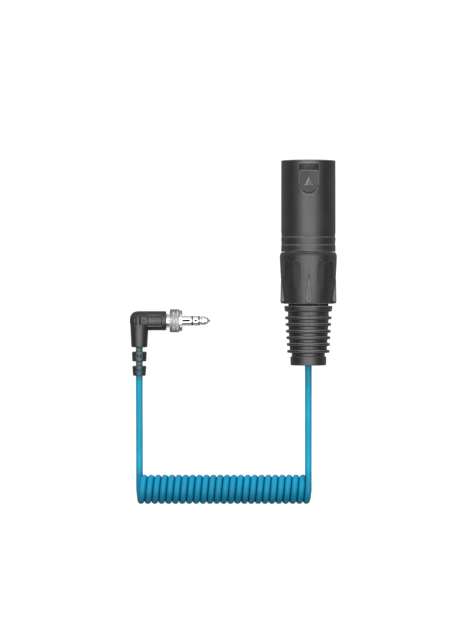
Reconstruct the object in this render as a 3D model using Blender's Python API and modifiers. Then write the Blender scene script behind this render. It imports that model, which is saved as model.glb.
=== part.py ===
"""Audio adapter lead lying flat on a table: a three-pin plug, a curly cord wound in one close coil,
and a right-angle mini plug with a screw-lock nut.

Metres, +Z up. The table is z = 0, the three-pin plug lies along Y with its mating end at +Y, and the
row's origin is under the middle of that plug. Each plug is built on an empty that lies on its axis.
"""

import math

import bmesh
import bpy
from mathutils import Vector

MM = 0.001

# ---- Clearances -----------------------------------------------------------------------------
FIT = 0.3 * MM  # between pieces that touch, seat or slide
FINE_FIT = 0.1 * MM  # between the concentric contacts of the mini plug
OVERCUT = 2.0 * MM  # how far a cutter runs past the surface that it cuts

# ---- Three-pin plug. Places along its axis count from the mating rim towards the cord ----------
SHELL_RADIUS = 9.5 * MM
SHELL_LENGTH = 31.9 * MM
SHELL_RIM_ROUND = 0.35 * MM
SHELL_STEPS = (26.9 * MM, 29.65 * MM)  # two saw-tooth rings
SHELL_STEP_RUN = 1.9 * MM
SHELL_STEP_DEPTH = 0.1 * MM
CAVITY_RADIUS = 8.1 * MM  # the mating socket
CAVITY_DEPTH = 15.0 * MM
SHELL_BORE_RADIUS = 8.5 * MM  # behind the socket, for the insert and the threaded collar

LATCH_WINDOW_START = 1.3 * MM
LATCH_WINDOW_LENGTH = 2.4 * MM
LATCH_WINDOW_WIDTH = 7.0 * MM
RECESS_START = 3.7 * MM
RECESS_LENGTH = 8.6 * MM
RECESS_DEPTH = 0.6 * MM
ARROW_APEX = 5.8 * MM
ARROW_LENGTH = 3.3 * MM
ARROW_WIDTH = 3.1 * MM
ARROW_HEIGHT = 0.3 * MM
KEY_WIDTH = 2.6 * MM
KEY_HEIGHT = 1.1 * MM
KEY_START = 6.0 * MM

INSERT_STAND_OFF = 1.4 * MM  # how far the insert's face stands into the socket
INSERT_FLANGE = 4.0 * MM
CONTACT_CIRCLE_RADIUS = 5.5 * MM
CONTACT_ANGLES = (30.0, 150.0, 270.0)  # contacts 1, 2 and 3, from +X towards the latch side
CONTACT_RADIUS = 1.18 * MM
CONTACT_TIP = 4.0 * MM
CUP_RADIUS = 1.5 * MM
CUP_BORE_RADIUS = 1.05 * MM
CUP_LENGTH = 5.6 * MM
CUP_BORE_DEPTH = 3.6 * MM
SPRING_THICKNESS = 0.4 * MM
SPRING_LENGTH = 5.2 * MM
SPRING_ARC = 40.0

CHUCK_START = 27.0 * MM
CHUCK_FLANGE = 1.2 * MM
CHUCK_LENGTH = 15.0 * MM
CHUCK_RADIUS = 6.5 * MM
CHUCK_TIP_RADIUS = 4.6 * MM
CHUCK_BORE_RADIUS = 5.3 * MM
CHUCK_JAW_LENGTH = 6.0 * MM
CHUCK_SLOT = 0.8 * MM

BUSHING_PROUD = 0.5 * MM  # how far the bushing stands out past the shell
BUSHING_LENGTH = 18.0 * MM
BUSHING_CHAMFER = 1.1 * MM
BUSHING_TAPER = ((4.4, 0.12), (7.9, 0.32), (11.4, 0.62), (14.4, 0.92), (18.0, 1.3))  # mm: place, drop
COLLAR_LENGTH = 3.5 * MM  # the threaded collar inside the shell
COLLAR_WALL = 1.2 * MM
BUSHING_POCKET_RADIUS = 7.9 * MM
BUSHING_REAR_WALL = 1.8 * MM
GRIP_PITCHES = 14  # places round the bushing, each a flute or a ridge
RIDGE_PLACES = (0, 3, 7, 11)
FLUTE_START = 3.1 * MM  # past the bushing's front
FLUTE_LENGTH = 9.5 * MM
FLUTE_WIDTH = 2.8 * MM
FLUTE_DEPTH = 0.5 * MM  # under the bushing's largest radius
RIDGE_START = 6.9 * MM  # past the bushing's front
RIDGE_LENGTH = 11.0 * MM
RIDGE_WIDTH = 2.1 * MM
RIDGE_DROP = 0.1 * MM  # of a ridge's top, under the bushing's largest radius

BOOT_NECK_RADIUS = 7.0 * MM
BOOT_NECK_LENGTH = 0.7 * MM  # seen between bushing and boot
BOOT_FLANGE = 2.2 * MM
BOOT_COLLAR_RADIUS = 8.4 * MM
BOOT_COLLAR_LENGTH = 2.0 * MM
BOOT_CORE_RADIUS = 7.1 * MM
BOOT_CORE_END_RADIUS = 6.4 * MM
BOOT_LENGTH = 20.8 * MM  # from the collar's front to the cord's exit
BOOT_RIB_COUNT = 6
BOOT_FIRST_RIB = 4.2 * MM  # past the collar's front
BOOT_RIB_PITCH = 2.34 * MM
BOOT_RIB_THICKNESS = 0.95 * MM
BOOT_RIB_RADIUS = 8.1 * MM
BOOT_LAST_RIB_RADIUS = 7.42 * MM
BOOT_GROOVE_RADIUS = 5.8 * MM
BOOT_TAIL_RADIUS = 6.2 * MM
BOOT_TAIL_LENGTH = 3.1 * MM
BOOT_HOLLOW_RADIUS = 4.4 * MM

# ---- Cord --------------------------------------------------------------------------------------
CORD_RADIUS = 1.18 * MM
CORD_BORE_RADIUS = CORD_RADIUS + FIT
COIL_RADIUS = 4.0 * MM  # to the middle of the cord
COIL_TURNS = 24.5
COIL_PITCH = 2.416 * MM
COIL_Y = -79.3 * MM
TABLE_GAP = 0.05 * MM
WIRE_RADIUS = 0.45 * MM
FINE_WIRE_RADIUS = 0.25 * MM

# The two leads' routes, in millimetres, chosen by hand
XLR_LEAD_ROUTE = (
    (0, -36.1, 10.0), (0, -41.0, 10.0), (0, -46.0, 9.96), (0, -51.0, 9.86),
    (0, -56.5, 9.70), (0, -62.0, 9.50), (0, -68.0, 9.33), (0, -74.6, 9.25),
)
MINI_LEAD_ROUTE = (
    (-59.2, -39.9, 4.1), (-59.2, -44.0, 4.02), (-59.2, -49.0, 3.55), (-59.2, -54.5, 2.80),
    (-59.2, -60.0, 2.08), (-59.2, -65.5, 1.57), (-59.2, -70.0, 1.33), (-59.2, -74.6, 1.25),
)

# ---- Mini plug. Places along its jack count from the corner, along +X --------------------------
MINI_Y = -20.2 * MM  # the jack's axis
ARM_LENGTH = 9.5 * MM  # the elbow's arm along the jack
ARM_EDGE = 0.4 * MM
ELBOW_ROOM = 0.75 * MM  # beside the jack, for its tags and wires
ELBOW_WALL = 0.88 * MM
DROP_STEP = 0.1 * MM  # how much thinner the arm along the cord is
DROP_TAPER = 0.48 * MM
DROP_LENGTH = 9.35 * MM
RELIEF_GAP = 1.5 * MM
RELIEF_SEGMENT = 3.5 * MM
RELIEF_SEGMENT_RADII = ((2.62, 2.47), (2.49, 2.22))  # mm, start and end of each
RELIEF_SPINE = 1.1 * MM
RELIEF_WINDOW_WIDTH = 1.85 * MM
RELIEF_WINDOW_LENGTH = 1.0 * MM
GRIP_BAR_PLACES = (-1.13 * MM, 0.33 * MM)
GRIP_BAR_WIDTH = 0.5 * MM
GRIP_BAR_LENGTH = 3.3 * MM
GRIP_BAR_DEPTH = 0.25 * MM

HOLDER_START = 6.6 * MM
HOLDER_LENGTH = 2.5 * MM
NECK_WALL = 0.65 * MM  # of the neck, round the jack
NECK_LENGTH = 0.9 * MM
NUT_GAP = 1.2 * MM  # from the elbow's face to the nut
NUT_RADIUS = 4.1 * MM
NUT_KNURL_LENGTH = 3.3 * MM
NUT_CROWN_RADIUS = 3.7 * MM
NUT_CROWN_LENGTH = 1.1 * MM
NUT_LUGS = 6
NUT_SLOT_WIDTH = 1.1 * MM
NUT_SLOT_DEPTH = 0.6 * MM
NUT_ROOM = 0.6 * MM  # between the jack and the nut's bore
NUT_POCKET_DEPTH = 2.2 * MM
RING_LENGTH = 0.7 * MM

JACK_RADIUS = 1.75 * MM
JACK_POINT = 24.9 * MM  # from the corner
TIP_LENGTH = 3.65 * MM
# shares of the tip's length and of the barrel's radius, from the back of the tip to its point
TIP_OUTLINE = ((0, 0.86), (0.1, 0.78), (0.21, 0.95), (0.31, 0.95), (0.77, 0.66), (0.9, 0.31), (1.0, 0.0))
BAND_LENGTH = 0.6 * MM
RING_CONTACT_LENGTH = 1.75 * MM
ROD_RADIUS = 0.4 * MM
TUBE_WALL = 0.22 * MM
CONTACT_STAGGER = 0.8 * MM
SLEEVE_REAR = 5.6 * MM
TAG_LENGTH = 0.7 * MM
TAG_WIDTH = 0.7 * MM
TAG_THICKNESS = 0.25 * MM

# ---- Fineness: sides of the round pieces -------------------------------------------------------
SIDES_LARGE = 48
SIDES_MEDIUM = 32
SIDES_SMALL = 16

# ---- Worked out from the values above ----------------------------------------------------------
BUSHING_FRONT = SHELL_LENGTH + 0.2 * MM
BUSHING_REAR = BUSHING_FRONT + BUSHING_LENGTH
BUSHING_RADIUS = SHELL_RADIUS + BUSHING_PROUD
BOOT_START = BUSHING_REAR + BOOT_NECK_LENGTH
XLR_LENGTH = BOOT_START + BOOT_LENGTH
XLR_RIM_Y = XLR_LENGTH / 2
COIL_LENGTH = COIL_TURNS * COIL_PITCH
COIL_OUTER_RADIUS = COIL_RADIUS + CORD_RADIUS
ELBOW_BORE_RADIUS = JACK_RADIUS + ELBOW_ROOM
ARM_RADIUS = ELBOW_BORE_RADIUS + ELBOW_WALL
DROP_RADIUS = ARM_RADIUS - DROP_STEP
NECK_RADIUS = JACK_RADIUS + NECK_WALL
NUT_BORE_RADIUS = JACK_RADIUS + NUT_ROOM
NUT_POCKET_RADIUS = NECK_RADIUS + FIT
NUT_START = ARM_LENGTH + NUT_GAP
NUT_LENGTH = NUT_KNURL_LENGTH + NUT_CROWN_LENGTH

MATERIALS = {
    "satin_black_metal": ((0.045, 0.045, 0.047), 0.38, 0.8),
    "insert_plastic": ((0.02, 0.02, 0.021), 0.5, 0.0),
    "gold_contact": ((0.83, 0.62, 0.25), 0.25, 1.0),
    "spring_metal": ((0.72, 0.72, 0.7), 0.3, 1.0),
    "chuck_plastic": ((0.5, 0.5, 0.48), 0.5, 0.0),
    "bushing_plastic": ((0.03, 0.03, 0.031), 0.5, 0.0),
    "boot_rubber": ((0.028, 0.028, 0.029), 0.62, 0.0),
    "elbow_plastic": ((0.03, 0.03, 0.031), 0.55, 0.0),
    "nickel": ((0.82, 0.81, 0.79), 0.2, 1.0),
    "band_plastic": ((0.02, 0.02, 0.02), 0.4, 0.0),
    "cord_blue": ((0.02, 0.3, 0.52), 0.45, 0.0),
    "wire_red": ((0.5, 0.03, 0.02), 0.45, 0.0),
    "wire_white": ((0.75, 0.75, 0.72), 0.45, 0.0),
    "bare_copper": ((0.72, 0.4, 0.25), 0.35, 1.0),
    "tinned_tag": ((0.7, 0.7, 0.7), 0.35, 1.0),
}


# ---- Scene and helpers -------------------------------------------------------------------------
def clear_scene():
    for obj in list(bpy.data.objects):
        bpy.data.objects.remove(obj, do_unlink=True)


def new_collection(name):
    collection = bpy.data.collections.new(name)
    bpy.context.scene.collection.children.link(collection)
    return collection


def own_material(node, finish):
    """A Principled material for one sub-part, in one of the finishes listed above."""
    colour, roughness, metallic = MATERIALS[finish]
    material = bpy.data.materials.new(f"{node}_{finish}")
    material.use_nodes = True
    shader = material.node_tree.nodes["Principled BSDF"]
    shader.inputs["Base Color"].default_value = (*colour, 1.0)
    shader.inputs["Roughness"].default_value = roughness
    shader.inputs["Metallic"].default_value = metallic
    return material


def axis_empty(name, location, rotation):
    empty = bpy.data.objects.new(name, None)
    empty.location = location
    empty.rotation_euler = rotation
    PARTS.objects.link(empty)
    return empty


def place(name, data, parent, finish=None):
    """Links a new object: a sub-part if it has a finish, else a hidden cutter or helper."""
    obj = bpy.data.objects.new(name, data)
    obj.parent = parent
    if finish:
        PARTS.objects.link(obj)
        data.materials.append(own_material(name, finish))
    else:
        CUTTERS.objects.link(obj)
        obj.hide_render = True
        obj.display_type = "WIRE"
    return obj


def turned(name, outer, bore, parent, finish=None, sides=SIDES_MEDIUM, arc=360.0):
    """A turned solid about the parent's Z. outer and bore are (place along Z, radius), both with
    rising places. With no bore, outer starts and ends on the axis."""
    outline = [(radius, 0.0, along) for along, radius in [*reversed(outer), *bore]]
    edges = [(i, i + 1) for i in range(len(outline) - 1)]
    if bore:
        edges.append((len(outline) - 1, 0))
    mesh = bpy.data.meshes.new(name)
    mesh.from_pydata(outline, edges, [])
    obj = place(name, mesh, parent, finish)
    screw = obj.modifiers.new("turn", "SCREW")
    screw.axis = "Z"
    screw.angle = math.radians(arc)
    screw.steps = sides
    screw.render_steps = sides
    screw.use_merge_vertices = True
    screw.merge_threshold = 0.00001
    screw.use_smooth_shade = True
    return obj


def mesh_object(name, bm, parent, finish=None):
    bmesh.ops.recalc_face_normals(bm, faces=bm.faces)
    mesh = bpy.data.meshes.new(name)
    bm.to_mesh(mesh)
    bm.free()
    return place(name, mesh, parent, finish)


def box(name, low, high, parent, finish=None):
    bm = bmesh.new()
    bmesh.ops.create_cube(bm, size=1.0)
    size = [b - a for a, b in zip(low, high)]
    middle = [(a + b) / 2 for a, b in zip(low, high)]
    bmesh.ops.scale(bm, vec=size, verts=bm.verts)
    bmesh.ops.translate(bm, vec=middle, verts=bm.verts)
    return mesh_object(name, bm, parent, finish)


def add_prism(bm, outline, low, high, angle=0.0):
    """Adds an outline of (across, along) points, stood up radially from low to high, and turned
    about the axis so that it faces angle degrees away from +Y."""
    corners = [bm.verts.new((across, low, along)) for across, along in outline]
    face = bm.faces.new(corners)
    grown = bmesh.ops.extrude_face_region(bm, geom=[face])
    top = [item for item in grown["geom"] if isinstance(item, bmesh.types.BMVert)]
    bmesh.ops.translate(bm, vec=(0, high - low, 0), verts=top)
    turn = math.radians(angle)
    for vert in [*corners, *top]:
        x, y, z = vert.co
        vert.co = (x * math.cos(turn) + y * math.sin(turn), y * math.cos(turn) - x * math.sin(turn), z)


def round_ended(start, length, width, round_start, round_end, points=6):
    """The outline of a slot along the axis, with a half circle at either end that asks for one."""
    half = width / 2
    outline = []
    for at_start, rounded in ((True, round_start), (False, round_end)):
        centre = start + half if at_start else start + length - half
        sign = -1 if at_start else 1
        if not rounded:
            edge = start if at_start else start + length
            outline += [(sign * half, edge), (-sign * half, edge)]
            continue
        for i in range(points + 1):
            turn = math.pi * i / points
            outline.append((sign * half * math.cos(turn), centre + sign * half * math.sin(turn)))
    return outline


def combine(obj, other, operation):
    modifier = obj.modifiers.new(f"{operation.lower()}_{other.name}", "BOOLEAN")
    modifier.operation = operation
    modifier.solver = "EXACT"
    modifier.object = other


def cut(obj, *cutters):
    for cutter in cutters:
        combine(obj, cutter, "DIFFERENCE")


def smooth_route(points, spans=2):
    """Points along a smooth curve (Catmull-Rom) through the given ones."""
    given = [Vector(p) for p in points]
    padded = [2 * given[0] - given[1], *given, 2 * given[-1] - given[-2]]
    route = []
    for a, b, c, d in zip(padded, padded[1:], padded[2:], padded[3:]):
        for i in range(spans):
            t = i / spans
            route.append(
                0.5 * (2 * b + (c - a) * t + (2 * a - 5 * b + 4 * c - d) * t**2 + (3 * b - a - 3 * c + d) * t**3)
            )
    return [*route, given[-1]]


def tube(name, points, radius, parent, finish, roundness=2):
    """A cord or wire as a bevelled curve through the points."""
    curve = bpy.data.curves.new(name, "CURVE")
    curve.dimensions = "3D"
    curve.bevel_depth = radius
    curve.bevel_resolution = roundness
    curve.use_fill_caps = True
    spline = curve.splines.new("POLY")
    spline.points.add(len(points) - 1)
    for point, place_ in zip(spline.points, points):
        point.co = (*place_, 1.0)
    return place(name, curve, parent, finish)


# ---- Three-pin plug ----------------------------------------------------------------------------
def shell_outline():
    outline = [(0, SHELL_RADIUS - SHELL_RIM_ROUND), (SHELL_RIM_ROUND, SHELL_RADIUS)]
    for step in SHELL_STEPS:
        outline += [
            (step - SHELL_STEP_RUN, SHELL_RADIUS),
            (step - SHELL_STEP_DEPTH, SHELL_RADIUS - SHELL_STEP_DEPTH),
            (step, SHELL_RADIUS),
        ]
    return [*outline, (SHELL_LENGTH, SHELL_RADIUS)]


def make_shell(axis):
    bore = [(0, CAVITY_RADIUS), (CAVITY_DEPTH, CAVITY_RADIUS)]
    bore += [(CAVITY_DEPTH, SHELL_BORE_RADIUS), (SHELL_LENGTH, SHELL_BORE_RADIUS)]
    shell = turned("xlr_shell", shell_outline(), bore, axis, "satin_black_metal", SIDES_LARGE)
    recess_floor = SHELL_RADIUS - RECESS_DEPTH

    bm = bmesh.new()
    outline = [(-KEY_WIDTH / 2, KEY_START), (KEY_WIDTH / 2, KEY_START)]
    outline += [(KEY_WIDTH / 2, CAVITY_DEPTH - FIT), (-KEY_WIDTH / 2, CAVITY_DEPTH - FIT)]
    add_prism(bm, outline, CAVITY_RADIUS - KEY_HEIGHT, CAVITY_RADIUS + FIT)
    combine(shell, mesh_object("key_rib_shape", bm, axis), "UNION")

    half = math.sqrt(SHELL_RADIUS**2 - recess_floor**2)
    bm = bmesh.new()
    add_prism(
        bm,
        round_ended(RECESS_START, RECESS_LENGTH, 2 * half, False, True),
        recess_floor,
        SHELL_RADIUS + OVERCUT,
    )
    cut(shell, mesh_object("recess_cutter", bm, axis))

    bm = bmesh.new()
    base = ARROW_APEX + ARROW_LENGTH
    arrow = [(0, ARROW_APEX), (ARROW_WIDTH / 2, base), (-ARROW_WIDTH / 2, base)]
    add_prism(bm, arrow, recess_floor - FIT, recess_floor + ARROW_HEIGHT)
    combine(shell, mesh_object("arrow_shape", bm, axis), "UNION")

    half = LATCH_WINDOW_WIDTH / 2
    end = LATCH_WINDOW_START + LATCH_WINDOW_LENGTH
    cut(
        shell,
        box("window_cutter", (-half, 0, LATCH_WINDOW_START), (half, SHELL_RADIUS + OVERCUT, end), axis),
    )


def contact_places():
    for angle in CONTACT_ANGLES:
        turn = math.radians(angle)
        yield (CONTACT_CIRCLE_RADIUS * math.cos(turn), CONTACT_CIRCLE_RADIUS * math.sin(turn))


INSERT_FACE = CAVITY_DEPTH - INSERT_STAND_OFF
INSERT_REAR = CAVITY_DEPTH + FIT + INSERT_FLANGE
CUP_START = INSERT_REAR + FIT
CUP_END = CUP_START + CUP_LENGTH


def make_insert(axis):
    face_radius = CAVITY_RADIUS - FIT
    flange_radius = SHELL_BORE_RADIUS - FIT
    flange_start = CAVITY_DEPTH + FIT
    outline = [(INSERT_FACE, 0), (INSERT_FACE, face_radius), (flange_start, face_radius)]
    outline += [(flange_start, flange_radius), (INSERT_REAR, flange_radius), (INSERT_REAR, 0)]
    insert = turned("contact_insert", outline, [], axis, "insert_plastic", SIDES_MEDIUM)
    hole = CONTACT_RADIUS + FIT
    start, end = INSERT_FACE - OVERCUT, INSERT_REAR + OVERCUT
    for number, (x, y) in enumerate(contact_places(), start=1):
        cutter = turned(
            f"contact_hole_{number}", [(start, 0), (start, hole), (end, hole), (end, 0)], [], axis, None, SIDES_SMALL
        )
        cutter.location = (x, y, 0)
        cut(insert, cutter)
    slot = KEY_WIDTH / 2 + FIT
    start = INSERT_FACE - OVERCUT
    low = CAVITY_RADIUS - KEY_HEIGHT - FIT
    cut(
        insert,
        box("key_slot_cutter", (-slot, low, start), (slot, SHELL_RADIUS, CAVITY_DEPTH + FIT / 2), axis),
    )


def make_contacts(axis):
    tip = CONTACT_TIP
    outline = [(tip, 0), (tip + 0.12 * MM, 0.55 * CONTACT_RADIUS), (tip + 0.5 * MM, 0.88 * CONTACT_RADIUS)]
    outline += [(tip + 1.1 * MM, CONTACT_RADIUS), (CUP_START, CONTACT_RADIUS), (CUP_START, CUP_RADIUS)]
    outline += [(CUP_END, CUP_RADIUS), (CUP_END, CUP_BORE_RADIUS)]
    outline += [(CUP_END - CUP_BORE_DEPTH, CUP_BORE_RADIUS), (CUP_END - CUP_BORE_DEPTH, 0)]
    for number, (x, y) in enumerate(contact_places(), start=1):
        contact = turned(f"contact_{number}", outline, [], axis, "gold_contact", SIDES_SMALL)
        contact.location = (x, y, 0)


def make_ground_spring(axis):
    """A curved leaf beside contact 1, between its cup and the shell's wall."""
    inner = CONTACT_CIRCLE_RADIUS + CUP_RADIUS + FIT
    line = [(CUP_START, inner), (CUP_START + SPRING_LENGTH, inner)]
    spring = turned("ground_spring", line, [], axis, "spring_metal", 6, SPRING_ARC)
    spring.rotation_euler = (0, 0, math.radians(CONTACT_ANGLES[0] - SPRING_ARC / 2))
    wall = spring.modifiers.new("wall", "SOLIDIFY")
    wall.thickness = SPRING_THICKNESS
    wall.offset = 1.0


def make_chuck(axis):
    """The collet: a flange that the collar presses, and four jaws round the cord."""
    end = CHUCK_START + CHUCK_LENGTH
    jaws = end - CHUCK_JAW_LENGTH
    outer = [(CHUCK_START, SHELL_BORE_RADIUS - FIT), (CHUCK_START + CHUCK_FLANGE, SHELL_BORE_RADIUS - FIT)]
    outer += [(CHUCK_START + CHUCK_FLANGE, CHUCK_RADIUS), (jaws, CHUCK_RADIUS), (end, CHUCK_TIP_RADIUS)]
    bore = [(CHUCK_START, CHUCK_BORE_RADIUS), (jaws - 2.0 * MM, CHUCK_BORE_RADIUS)]
    bore += [(jaws + 0.5 * MM, CORD_BORE_RADIUS), (end, CORD_BORE_RADIUS)]
    chuck = turned("chuck", outer, bore, axis, "chuck_plastic", SIDES_SMALL)
    half, reach = CHUCK_SLOT / 2, SHELL_RADIUS
    cut(
        chuck,
        box("jaw_slot_cutter_1", (-half, -reach, jaws), (half, reach, end + OVERCUT), axis),
        box("jaw_slot_cutter_2", (-reach, -half, jaws), (reach, half, end + OVERCUT), axis),
    )


def make_bushing(axis):
    """The threaded collar: it turns, its flutes and ridges are the grip."""
    front, rear = BUSHING_FRONT, BUSHING_REAR
    thread = SHELL_BORE_RADIUS - FIT
    outer = [(front - COLLAR_LENGTH, thread), (front, thread), (front, SHELL_RADIUS)]
    outer += [(front + BUSHING_CHAMFER, BUSHING_RADIUS)]
    outer += [(front + along * MM, BUSHING_RADIUS - drop * MM) for along, drop in BUSHING_TAPER]
    pocket_end = rear - BUSHING_REAR_WALL
    pocket_start = front + COLLAR_WALL
    inner = thread - COLLAR_WALL
    hole = BOOT_NECK_RADIUS + FIT
    bore = [(front - COLLAR_LENGTH, inner), (pocket_start, inner), (pocket_start, BUSHING_POCKET_RADIUS)]
    bore += [(pocket_end, BUSHING_POCKET_RADIUS), (pocket_end, hole), (rear, hole)]
    bushing = turned("bushing", outer, bore, axis, "bushing_plastic", SIDES_LARGE)

    flutes = bmesh.new()
    ridges = bmesh.new()
    slot = round_ended(front + FLUTE_START, FLUTE_LENGTH, FLUTE_WIDTH, True, False, 4)
    for step in range(GRIP_PITCHES):
        angle = 360.0 * step / GRIP_PITCHES
        if step in RIDGE_PLACES:
            add_prism(ridges, teardrop(), BUSHING_POCKET_RADIUS + FIT, BUSHING_RADIUS - RIDGE_DROP, angle)
        else:
            add_prism(flutes, slot, BUSHING_RADIUS - FLUTE_DEPTH, BUSHING_RADIUS + OVERCUT, angle)
    cut(bushing, mesh_object("flute_cutter", flutes, axis))
    combine(bushing, mesh_object("ridge_shape", ridges, axis), "UNION")


def teardrop(points=4):
    """The outline of one grip ridge: a point towards the shell, and a round end."""
    start = BUSHING_FRONT + RIDGE_START
    half = RIDGE_WIDTH / 2
    centre = start + RIDGE_LENGTH - half
    outline = [(0, start)]
    for i in range(points + 1):
        turn = math.pi * i / points
        outline.append((half * math.cos(turn), centre + half * math.sin(turn)))
    return outline


def boot_outline():
    start = BOOT_START
    tail = start + BOOT_LENGTH - BOOT_TAIL_LENGTH
    outline = [(start, BOOT_COLLAR_RADIUS - FIT), (start + FIT, BOOT_COLLAR_RADIUS)]
    outline += [(start + BOOT_COLLAR_LENGTH, BOOT_COLLAR_RADIUS - FIT)]
    for rib in range(BOOT_RIB_COUNT):
        share = rib / (BOOT_RIB_COUNT - 1)
        centre = start + BOOT_FIRST_RIB + rib * BOOT_RIB_PITCH
        radius = BOOT_RIB_RADIUS + (BOOT_LAST_RIB_RADIUS - BOOT_RIB_RADIUS) * share
        core = BOOT_CORE_RADIUS + (BOOT_CORE_END_RADIUS - BOOT_CORE_RADIUS) * share
        if rib == 0:
            outline.append((start + BOOT_COLLAR_LENGTH, core))
        outline += [
            (centre - BOOT_RIB_THICKNESS / 2, core),
            (centre - BOOT_RIB_THICKNESS / 4, radius),
            (centre + BOOT_RIB_THICKNESS / 4, radius),
            (centre + BOOT_RIB_THICKNESS / 2, core if rib < BOOT_RIB_COUNT - 1 else BOOT_GROOVE_RADIUS),
        ]
    return [*outline, (tail, BOOT_GROOVE_RADIUS), (tail, BOOT_TAIL_RADIUS), (XLR_LENGTH, BOOT_TAIL_RADIUS)]


def make_boot(axis):
    """The ribbed bend relief. Its flange sits in the bushing's pocket and its neck in the hole."""
    flange_end = BUSHING_REAR - BUSHING_REAR_WALL - FIT
    flange_start = flange_end - BOOT_FLANGE
    outer = [(flange_start, BUSHING_POCKET_RADIUS - FIT), (flange_end, BUSHING_POCKET_RADIUS - FIT)]
    outer += [(flange_end, BOOT_NECK_RADIUS), (BOOT_START, BOOT_NECK_RADIUS), *boot_outline()]
    tail = XLR_LENGTH - BOOT_TAIL_LENGTH
    bore = [(flange_start, BOOT_HOLLOW_RADIUS), (tail - 2.0 * MM, BOOT_HOLLOW_RADIUS)]
    bore += [(tail, CORD_BORE_RADIUS), (XLR_LENGTH, CORD_BORE_RADIUS)]
    turned("cable_boot", outer, bore, axis, "boot_rubber", SIDES_MEDIUM)


def make_xlr_wiring(axis):
    """The cord's end in the boot and chuck, and its screen and two cores, each to a solder cup."""
    end = CHUCK_START + CHUCK_LENGTH - CHUCK_JAW_LENGTH
    exit_gap = XLR_LENGTH - FIT / 2
    tube("cord_end_xlr", [(0, 0, end), (0, 0, exit_gap)], CORD_RADIUS, axis, "cord_blue")
    wires = (("wire_screen", "bare_copper"), ("wire_hot", "wire_red"), ("wire_cold", "wire_white"))
    for (name, finish), (x, y) in zip(wires, contact_places()):
        start, spread = 0.14, 0.7  # shares of the contact circle
        route = [
            (start * x, start * y, end - FIT),
            (start * x, start * y, end - 2.5 * MM),
            (spread * x, spread * y, CHUCK_START + 1.0 * MM),
            (x, y, CUP_END + 0.3 * MM),
            (x, y, CUP_END - CUP_BORE_DEPTH + FIT),
        ]
        tube(name, smooth_route(route), WIRE_RADIUS, axis, finish, 1)


# ---- Cord --------------------------------------------------------------------------------------
def make_cord():
    for name, route in (("cord_lead_xlr", XLR_LEAD_ROUTE), ("cord_lead_mini", MINI_LEAD_ROUTE)):
        metres = [[value * MM for value in point] for point in route]
        tube(name, smooth_route(metres), CORD_RADIUS, None, "cord_blue")
    height = COIL_OUTER_RADIUS + TABLE_GAP
    axis = axis_empty("coil_axis", (-COIL_LENGTH, COIL_Y, height), (0, math.radians(90), 0))
    start, end = -CORD_RADIUS, COIL_LENGTH + CORD_RADIUS
    outline = [(start, 0), (start, COIL_OUTER_RADIUS), (end, COIL_OUTER_RADIUS), (end, 0)]
    turned("cord_coil", outline, [], axis, "cord_blue", SIDES_MEDIUM)


# ---- Mini plug ---------------------------------------------------------------------------------
def relief_places():
    """Each relief segment's start, end and radii, from the corner down the cord."""
    for index, (first, last) in enumerate(RELIEF_SEGMENT_RADII):
        start = DROP_LENGTH + RELIEF_GAP + index * (RELIEF_GAP + RELIEF_SEGMENT)
        yield start, start + RELIEF_SEGMENT, first * MM, last * MM


def make_elbow(jack_axis, drop_axis):
    """The right-angle moulding with its segmented relief, hollow for the contacts and the cord."""
    arm = []
    for i in range(6):
        turn = math.pi / 2 * i / 5
        arm.append((-ARM_RADIUS * math.cos(turn), ARM_RADIUS * math.sin(turn)))
    arm += [(ARM_LENGTH - ARM_EDGE, ARM_RADIUS), (ARM_LENGTH, ARM_RADIUS - ARM_EDGE), (ARM_LENGTH, 0)]
    elbow = turned("elbow_body", arm, [], jack_axis, "elbow_plastic", SIDES_MEDIUM)

    drop = [(0, 0), (0, DROP_RADIUS), (DROP_LENGTH, DROP_RADIUS - DROP_TAPER)]
    for start, end, first, last in relief_places():
        drop += [(start, first), (end, last)]
    exit_place = drop[-1][0]
    drop += [(exit_place, 0)]
    combine(elbow, turned("drop_shape", drop, [], drop_axis, None, SIDES_MEDIUM), "UNION")

    hollow = []
    for i in range(4):
        turn = math.pi / 2 * i / 3
        hollow.append((-ELBOW_BORE_RADIUS * math.cos(turn), ELBOW_BORE_RADIUS * math.sin(turn)))
    past_face = ARM_LENGTH + OVERCUT
    hollow += [(past_face, ELBOW_BORE_RADIUS), (past_face, 0)]
    down = [(0, 0), (0, ELBOW_BORE_RADIUS - FINE_FIT), (DROP_LENGTH - 2.0 * MM, ELBOW_BORE_RADIUS - FINE_FIT)]
    down += [(DROP_LENGTH - 1.0 * MM, CORD_BORE_RADIUS), (exit_place + OVERCUT, CORD_BORE_RADIUS)]
    down += [(exit_place + OVERCUT, 0)]
    cut(
        elbow,
        turned("hollow_cutter", hollow, [], jack_axis, None, SIDES_SMALL),
        turned("cord_way_cutter", down, [], drop_axis, None, SIDES_SMALL),
    )
    cut_relief(elbow, drop_axis)
    cut_grip_bars(elbow, drop_axis)


def cut_relief(elbow, drop_axis):
    """Gaps leave a spine above and below the cord; windows open each segment between the gaps."""
    reach = DROP_RADIUS + OVERCUT
    half = RELIEF_WINDOW_WIDTH / 2
    for number, (start, end, _, _) in enumerate(relief_places(), start=1):
        for side in (-1, 1):
            near, far = side * RELIEF_SPINE / 2, side * reach
            low, high = min(near, far), max(near, far)
            cut(
                elbow,
                box(f"relief_gap_{number}_{side}", (low, -reach, start - RELIEF_GAP), (high, reach, start), drop_axis),
            )
        middle = (start + end) / 2
        low, high = middle - RELIEF_WINDOW_LENGTH / 2, middle + RELIEF_WINDOW_LENGTH / 2
        cut(elbow, box(f"relief_window_{number}", (-half, -reach, low), (half, reach, high), drop_axis))


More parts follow.
